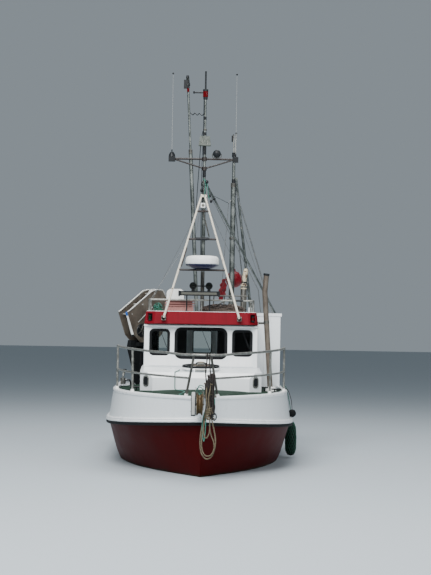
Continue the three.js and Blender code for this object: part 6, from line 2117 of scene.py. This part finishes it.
    def build_hold(self) -> None:
        """The hold's coaming and its lid with two grips."""
        soften("hold_coaming", Surface.GELCOAT, 0.008)
        lid = Shape(Surface.GELCOAT).copy_node("hold_hatch")
        lid.use(Surface.ALUMINIUM)
        for x in (-0.35, 0.35):
            grip = [(x - 0.08, 0.66), (x - 0.08, 0.7), (x + 0.08, 0.7), (x + 0.08, 0.66)]
            lid.pipes([[(a, 2.98, z) for a, z in grip]], 0.008, 0.02)
        lid.finish("hold_lid_formed", "hold_lid", ["hold_hatch"], bevel=0.008)

    def build_buoy(self) -> None:
        """The red ball buoy on the derrick mast, with its rope eye."""
        low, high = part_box("ball_buoy")
        centre = Vector(((low.x + high.x) / 2, (low.y + high.y) / 2, low.z + self.buoy_radius))
        shape = Shape(Surface.BUOY).ball(centre, self.buoy_radius, 36)
        top = centre + Vector((0, 0, 0.15))
        shape.bar(top, top + Vector((0, 0, 0.065)), 0.034, 0.021, 20)
        eye = posed(centre + Vector((0, 0, 0.19)), math.pi / 2, "Y")
        shape.use(Surface.BLACK).hoop(eye, 0.012, 0.006)
        shape.finish("ball_buoy_formed", replaces=["ball_buoy"], angle=50)

    def build_cloth(self) -> None:
        """A crumpled red cloth that hangs by the buoy."""
        foot, rows, rings = 3.06, 25, []
        for i in range(rows + 1):
            z, share = foot + 0.44 * i / rows, i / rows
            belly = 0.022 + 0.042 * math.sin(math.pi * share**0.8) + 0.006 * math.sin(i * 1.1)
            ring = []
            for a in turns(40):
                crumple = noise.noise(Vector((math.cos(a), math.sin(a), z * 9)) * 1.7)
                reach = belly * (1 + 0.14 * math.sin(5 * a + z * 16) + 0.7 * crumple)
                x = 0.4 + 0.16 * (z - foot) + reach * math.cos(a)
                ring.append((x, 1.17 + 0.7 * reach * math.sin(a), z))
            rings.append(ring)
        cloth = Shape(Surface.RED_CLOTH).skin(rings)
        cloth.use(Surface.DARK_ROPE).pipes([[(0.46, 1.17, 3.47), (0.55, 1.24, 3.6)]], 0.006, 0.0, 6)
        cloth.finish("red_cloth_bundle", angle=80)

    def build_fender(self) -> None:
        """The net bag fender on its lanyard."""
        profile = [
            (0, 0.04), (0.07, 0.06), (0.105, 0.16), (0.112, 0.38), (0.098, 0.6), (0.05, 0.71), (0, 0.73),
        ]
        place = Matrix.Translation((*self.fender_at, 0))
        shape = Shape(Surface.RUBBER).turned([(r * 0.93, z) for r, z in profile], place, 24)

        def on_bag(turn: float, z: float) -> Vector:
            """A point on the bag."""
            for (r0, z0), (r1, z1) in zip(profile, profile[1:]):
                if z0 <= z <= z1:
                    radius = lerp(r0, r1, (z - z0) / (z1 - z0))
                    return place @ Vector((radius * math.cos(turn), radius * math.sin(turn), z))
            return place @ Vector((0, 0, z))

        starts = [(turn, way) for turn in turns(14) for way in (1, -1)]
        strands = [
            [on_bag(turn + way * k * 0.16, 0.05 + k * 0.042) for k in range(17)] for turn, way in starts
        ]
        shape.use(Surface.NET).pipes(strands, 0.0042, 0.0, 5)
        lanyard = [
            (1.8, 0.3, 0.7), (1.798, 0.3, 0.85), (1.76, 0.3, 1.1), (1.672, 0.3, 1.398), (1.6, 0.3, 1.3873),
        ]
        shape.rope(lanyard, 0.0072, 0.045, 0.006, 0.02)
        shape.finish("net_fender", replaces=["fender"], angle=60)

    def build_round_fender(self) -> None:
        """The round black fender forward of the net bag."""
        ball = Shape(Surface.RUBBER).ball((1.745, -0.9, 0.93), 0.075, 24)
        hang = [(1.745, -0.9, 0.99), (1.72, -0.9, 1.2), (1.64, -0.9, 1.385), (1.585, -0.9, 1.386)]
        ball.use(Surface.DARK_ROPE).hose(hang, 0.006)
        ball.finish("round_fender", angle=60)


BOW_ROPE = [
    (0.12, -4.7256, 1.545), (0.117, -4.8, 1.551), (0.102, -4.87, 1.552), (0.092, -4.945, 1.51),
    (0.084, -4.995, 1.42), (0.074, -5.015, 1.29), (0.048, -5.012, 1.12), (0.014, -5.004, 0.94),
    (-0.014, -4.998, 0.76), (-0.018, -4.996, 0.59), (0.014, -4.998, 0.445), (0.084, -5.0, 0.372),
    (0.16, -4.998, 0.4), (0.216, -4.998, 0.52), (0.232, -5.0, 0.68), (0.206, -5.006, 0.85),
    (0.168, -5.024, 1.01), (0.144, -5.038, 1.16), (0.116, -5.04, 1.33), (0.096, -5.03, 1.45),
    (0.078, -4.975, 1.545), (0.066, -4.89, 1.585), (0.09, -4.8, 1.583), (0.1, -4.7256, 1.578),
]
GREEN_ROPE = [
    (-0.392, -1.85, 1.746), (-0.396, -1.96, 1.738), (-0.414, -2.09, 1.73), (-0.446, -2.22, 1.722),
    (-0.466, -2.33, 1.716), (-0.47, -2.388, 1.717), (-0.471, -2.418, 1.708), (-0.471, -2.434, 1.68),
    (-0.471, -2.435, 1.59), (-0.47, -2.436, 1.48), (-0.468, -2.446, 1.434), (-0.462, -2.486, 1.411),
    (-0.44, -2.58, 1.4065), (-0.34, -2.85, 1.4), (-0.29, -3.1, 1.3915), (-0.33, -3.38, 1.379),
    (-0.38, -3.64, 1.3665), (-0.31, -3.9, 1.3585), (-0.19, -4.12, 1.3535), (-0.1, -4.29, 1.35),
    (-0.056, -4.384, 1.367), (-0.044, -4.448, 1.413), (-0.04, -4.52, 1.406), (-0.04, -4.585, 1.405),
]


@dataclass
class Ropes(Assembly):
    """The two ropes at the bow, laid where they hang."""

    lay: float = 3.4
    step: float = 0.007

    def lay_rope(
        self, name: str, node: str, points: Sequence[Point], radius: float, surface: Surface
    ) -> None:
        """Args:
            name: the piece's name.
            node: the CAD node that it replaces.
            points: its route.
            radius: of the rope.
            surface: its finish.
        """
        route = smooth_path(points, self.step)
        turn = math.tau / (2 * radius * self.lay)
        shape = Shape(surface).grow("rope", [route], radius=radius, turn=turn, step=self.step)
        rope = shape.finish(name, replaces=[node], angle=80)

    def build_ropes(self) -> None:
        """Lays both ropes."""
        self.lay_rope("bow_line", "bow_rope", BOW_ROPE, 0.012, Surface.CREAM_ROPE)
        self.lay_rope("hatch_line", "green_rope", GREEN_ROPE, 0.008, Surface.TEAL_ROPE)


@dataclass
class BowGear(Assembly):
    """The bow rail, the stem roller with its bitt, the anchor and what is lashed to them."""

    rail: float = 0.021
    lean: float = 0.09
    leg_t: float = 0.33
    middle_t: float = 1.86
    end_t: float = 3.08
    tops: tuple[float, float] = (2.075, 2.165)
    mids: tuple[float, float] = (1.685, 1.74)
    cap_z: float = 1.3803
    leg_head: tuple[float, float] = (0.14, -4.79)
    sheave: tuple[float, float, float] = (-0.04, -5.09, 1.27)
    shank_x: float = 0.15

    def rail_side(self, side: int, heights: tuple[float, float], lean: float) -> list[Vector]:
        """One side of a rail, from its after end forward.

        Args:
            side: 1 to port, -1 to starboard.
            heights: at the bow and at its after end.
            lean: how far it leans out at the bow.

        Returns:
            Its points.
        """
        stations = (self.end_t, 2.6, 2.1, 1.6, 1.05, 0.6)
        return [LINES.over_gunwale(t, side, lerp(*heights, t / self.end_t), lean) for t in stations]

    def leg(self, side: int, z: float) -> Vector:
        """The leg that leans in over the bow on one side, at a height."""
        foot = LINES.over_gunwale(self.leg_t, side, self.cap_z)
        share = (z - foot.z) / (self.tops[0] - foot.z)
        x, y = lerp(foot.x, side * self.leg_head[0], share), lerp(foot.y, self.leg_head[1], share)
        return Vector((x, y, z))

    def build_rail(self) -> None:
        """The rails, the legs, the stanchions and their white deck sockets."""
        shape = Shape(Surface.ALUMINIUM)
        high = {}
        for side in (-1, 1):
            bend = LINES.over_gunwale(self.leg_t, side, self.tops[0], self.lean)
            high[side] = [*self.rail_side(side, self.tops, self.lean), bend, self.leg(side, self.tops[0])]
            middle = [*self.rail_side(side, self.mids, self.lean * 0.47), self.leg(side, self.mids[0])]
            shape.hose(middle, self.rail * 0.85, 12, 0.05)
        nose = Vector((0, -4.75 - 0.9 * self.lean, self.tops[0]))
        shape.hose([*high[-1], nose, *reversed(high[1])], self.rail, 14, 0.05)
        for t in (self.leg_t, self.middle_t, self.end_t):
            for side in (-1, 1):
                foot = LINES.over_gunwale(t, side, self.cap_z)
                head = LINES.over_gunwale(t, side, lerp(*self.tops, t / self.end_t), self.lean)
                if t == self.leg_t:
                    head = self.leg(side, self.tops[0])
                shape.use(Surface.DARK_TUBE if t == self.leg_t else Surface.ALUMINIUM)
                shape.bar(foot, head, self.rail * 0.98)
                shape.use(Surface.WHITE_PLASTIC).bar(foot, foot.lerp(head, 0.06), 0.036, 0.027)
                shape.use(Surface.ALUMINIUM).ball(head, self.rail * 1.15, 14)
                if t == self.middle_t:
                    spot = foot.lerp(head, 0.44)
                    shape.bar(spot, spot + Vector((0, 0, 0.04)), self.rail * 1.25)
        shape.finish("bow_rail_formed", replaces=["bow_rail"])

    def build_roller(self) -> None:
        """The stem roller's base, cheeks and bitt, and its grey housing."""
        soften("bow_roller_frame", Surface.PLATE, 0.003)
        housing = Shape(Surface.GREY_PLASTIC)
        outline = [(-5.13, 1.09), (-4.95, 1.09), (-4.93, 1.3), (-4.95, 1.42), (-5.08, 1.42), (-5.15, 1.3)]
        cheek = [
            (-5.16, 1.1), (-4.93, 1.1), (-4.93, 1.35), (-4.97, 1.44), (-5.05, 1.47), (-5.13, 1.45),
            (-5.17, 1.36),
        ]
        housing.prism("x", cheek, -0.17, -0.116)
        housing.use(Surface.BLACK).prism("x", outline, -0.182, -0.17).prism("x", cheek, -0.115, -0.098)
        housing.box((-0.181, -5.16, 1.08), (-0.1, -4.94, 1.1))
        heads = [(-0.184, -5.04, z) for z in (1.15, 1.36)]
        housing.use(Surface.ALUMINIUM).bolts(heads, 0.011, 0.01, (1, 0, 0))
        housing.finish("roller_housing", bevel=0.01)

    def build_sheave(self) -> None:
        """The roller's brassy sheave."""
        axis = frame_along(self.sheave, Vector(self.sheave) + Vector((1, 0, 0)))
        half = [
            (0.0148, 0.053), (0.177, 0.053), (0.185, 0.046), (0.185, 0.039), (0.168, 0.026), (0.152, 0.016),
        ]
        sheave = Shape(Surface.BRASSY).ring([*((r, -h) for r, h in half), *reversed(half)], axis, 56)
        sheave.finish("bow_sheave_formed", "bow_roller", ["bow_sheave"], angle=40)

    def build_anchor(self) -> None:
        """The anchor, lashed up to the stem with dark and pale turns of rope."""
        soften("anchor", Surface.TARRED_IRON, 0.005)
        rng = random.Random(5)
        dark, x = Surface.DARK_ROPE, self.shank_x
        wraps = Shape(dark)
        turns_up = [(1.2 + 0.021 * i, dark) for i in range(24)]
        pale = (1.03, 1.05, 1.07, 1.1, 1.17, 1.19, 1.43, 1.45, 1.47, 1.6)
        turns_up += [(z, Surface.CREAM_ROPE) for z in pale]
        for z, surface in turns_up:
            if surface is dark and rng.random() < 0.25:
                continue
            wide = 0.039 + 0.012 * rng.random() + (0.01 if z > 1.6 or z < 1.12 else 0.0)
            slant = rng.uniform(-0.3, 0.3)
            place = posed((x - 0.004 * rng.random(), -4.975, z), slant, "Y")
            wraps.use(surface).hoop(place, wide, 0.0095, wide * 0.82)
        wraps.use(dark)
        for shift in (-0.046, -0.024, 0.0, 0.026, 0.044):
            line = [(x + shift * 1.2, -5.005, 1.76), (x + shift, -5.014, 1.5), (x + shift * 1.3, -5.012, 1.2)]
            wraps.hose(line, 0.011)
        wraps.finish("anchor_lashing", angle=60)

    def build_lashings(self) -> None:
        """The dark ropes from the rail down to the anchor, their eyes and a ring."""
        dark = Shape(Surface.DARK_ROPE)
        for path in (
            [(0.078, -4.85, 2.09), (0.07, -4.87, 1.95), (0.055, -4.9, 1.82), (0.06, -4.95, 1.7),
             (0.085, -4.99, 1.58)],
            [(0.12, -4.85, 2.08), (0.118, -4.88, 1.95), (0.128, -4.92, 1.84), (0.14, -4.97, 1.74)],
            [(0.062, -4.96, 1.68), (0.075, -5.0, 1.5), (0.1, -5.03, 1.3), (0.11, -5.04, 1.12)],
            [(0.05, -4.94, 1.6), (0.055, -5.01, 1.47), (0.07, -5.045, 1.32), (0.095, -5.055, 1.16),
             (0.12, -5.06, 1.06)],
            [(0.105, -4.98, 1.72), (0.092, -5.03, 1.55), (0.088, -5.055, 1.38), (0.11, -5.065, 1.2),
             (0.13, -5.065, 1.08)],
            [(0.13, -4.96, 1.78), (0.118, -5.03, 1.6), (0.128, -5.06, 1.4), (0.142, -5.06, 1.22),
             (0.15, -5.055, 1.04)],
            [(0.17, -4.98, 1.7), (0.186, -5.02, 1.52), (0.19, -5.035, 1.34), (0.176, -5.05, 1.18),
             (0.16, -5.05, 1.06)],
            [(0.09, -4.97, 1.66), (0.066, -5.02, 1.5), (0.07, -5.04, 1.34), (0.082, -5.05, 1.2)],
        ):
            dark.rope(path, 0.0125, 0.06, 0.008, 0.02)
        for x in (0.078, 0.12):
            dark.hoop(posed((x, -4.831, 2.075), math.pi / 2, "Y"), 0.026, 0.008)
        dark.use(Surface.BLACK).hoop(posed((0.205, -5.055, 1.07), math.pi / 2, "X"), 0.034, 0.011, 0.055)
        dark.finish("rail_lashings", angle=70)

    def build_coils(self) -> None:
        """The pale loops and turns that hang ahead of the stem."""
        pale = Shape(Surface.CREAM_ROPE)
        for path in (
            [(0.05, -5.04, 1.1), (0.035, -5.035, 0.95), (0.04, -5.035, 0.78), (0.075, -5.04, 0.715),
             (0.12, -5.045, 0.78), (0.135, -5.05, 0.95), (0.13, -5.055, 1.1)],
            [(0.14, -5.05, 1.1), (0.135, -5.03, 0.9), (0.16, -5.025, 0.76), (0.2, -5.025, 0.66),
             (0.21, -5.025, 0.54), (0.16, -5.025, 0.44), (0.09, -5.025, 0.42), (0.035, -5.025, 0.47),
             (0.005, -5.025, 0.6), (0.015, -5.03, 0.8), (0.045, -5.04, 0.98), (0.07, -5.045, 1.12)],
            [(0.09, -5.05, 1.18), (0.12, -5.055, 1.1), (0.16, -5.05, 1.06), (0.18, -5.05, 1.12),
             (0.15, -5.055, 1.19)],
            [(0.1, -4.93, 1.62), (0.075, -5.03, 1.52), (0.068, -5.06, 1.4), (0.085, -5.065, 1.25),
             (0.105, -5.065, 1.12)],
            [(0.13, -4.98, 1.62), (0.128, -5.06, 1.5), (0.105, -5.072, 1.36), (0.12, -5.07, 1.22),
             (0.14, -5.065, 1.1)],
        ):
            pale.rope(path, 0.0105, 0.075, 0.007, 0.015)
        for i in range(6):
            place = posed((0.084 + 0.006 * i, -5.035, 1.045 + 0.03 * i), 0.5 - 0.18 * i, "Y")
            pale.hoop(place, 0.044, 0.0125, 0.034)
        pale.finish("bow_coils", angle=70)

    def build_tangle(self) -> None:
        """The teal ends among them."""
        teal = Shape(Surface.TEAL_ROPE)
        for path in (
            [(0.04, -5.045, 1.14), (0.012, -5.03, 0.98), (0.016, -5.03, 0.8), (0.04, -5.03, 0.66),
             (0.06, -5.035, 0.8), (0.066, -5.04, 0.98), (0.075, -5.045, 1.14)],
            [(-0.1, -4.9, 1.47), (-0.08, -4.95, 1.53), (-0.03, -4.99, 1.55), (0.02, -4.97, 1.5),
             (0.03, -4.92, 1.45), (-0.02, -4.88, 1.44), (-0.07, -4.9, 1.5), (-0.04, -4.96, 1.58),
             (0.03, -4.95, 1.56)],
            [(0.185, -5.01, 1.4), (0.205, -5.015, 1.36), (0.21, -5.015, 1.28), (0.195, -5.012, 1.24),
             (0.185, -5.01, 1.3)],
        ):
            teal.rope(path, 0.008, 0.055, 0.006, 0.012)
        teal.finish("teal_tangle", angle=70)


@dataclass
class Stage(Assembly):
    """The photograph's camera, a pale floor at the waterline and soft studio light."""

    camera: tuple[float, float, float] = (-0.27, -33.0, 2.61)
    lens: float = 106.4
    yaw: float = 0.945
    pitch: float = 1.196
    roll: float = 0.95

    def build_camera(self) -> None:
        """Stands the camera where the photograph was taken from."""
        data = bpy.data.cameras.new("camera")
        data.lens, data.sensor_width, data.sensor_fit = self.lens, 36.0, "AUTO"
        data.clip_end = 300.0
        pan = posed(self.camera, math.radians(-self.yaw), "Z")
        tilt = Matrix.Rotation(math.radians(90 + self.pitch), 4, "X")
        turn = pan @ tilt @ Matrix.Rotation(math.radians(self.roll), 4, "Z")
        bpy.context.scene.camera = add_object("camera", data, turn)

    def build_set(self) -> None:
        """The floor, the sky light and the lamps."""
        mesh = bpy.data.meshes.new("floor")
        mesh.from_pydata([(-90, -60, 0), (90, -60, 0), (90, 140, 0), (-90, 140, 0)], [], [(0, 1, 2, 3)])
        paint = Moulded("floor_paint", "gelcoat_white", "a3acb2", faded="a9b1b6", roughness=0.6)
        mesh.materials.append(paint.make())
        add_object("floor", mesh)
        world = bpy.data.worlds.new("sky")
        bpy.context.scene.world = world
        world.use_nodes = True
        sky = world.node_tree.nodes["Background"].inputs
        sky["Color"].default_value, sky["Strength"].default_value = linear("b9c5ce"), 0.5
        for name, place, target, size, power in (
            ("key", (-5, -20, 19), (0, -2, 1.4), 13.0, 11500),
            ("fill", (13, -14, 11), (0, -1, 1.5), 10.0, 1500),
            ("top", (0, 5, 18), (0, 0, 1.5), 13.0, 2600),
        ):
            lamp = bpy.data.lights.new(name, "AREA")
            lamp.size, lamp.energy = size, power
            aim = (Vector(target) - Vector(place)).to_track_quat("-Z", "Y").to_matrix().to_4x4()
            add_object(name, lamp, Matrix.Translation(place) @ aim)


def main() -> None:
    """Builds the stage and the boat, piece by piece."""
    logging.basicConfig(level=logging.INFO, format="%(message)s")
    for kind in (Stage, Ropes, Hull, Forecabin, Wheelhouse, RoofGear, Masts, WorkingGear, BowGear):
        LOG.info("building %s", kind.__name__)
        kind().build()


if __name__ == "__main__":
    main()
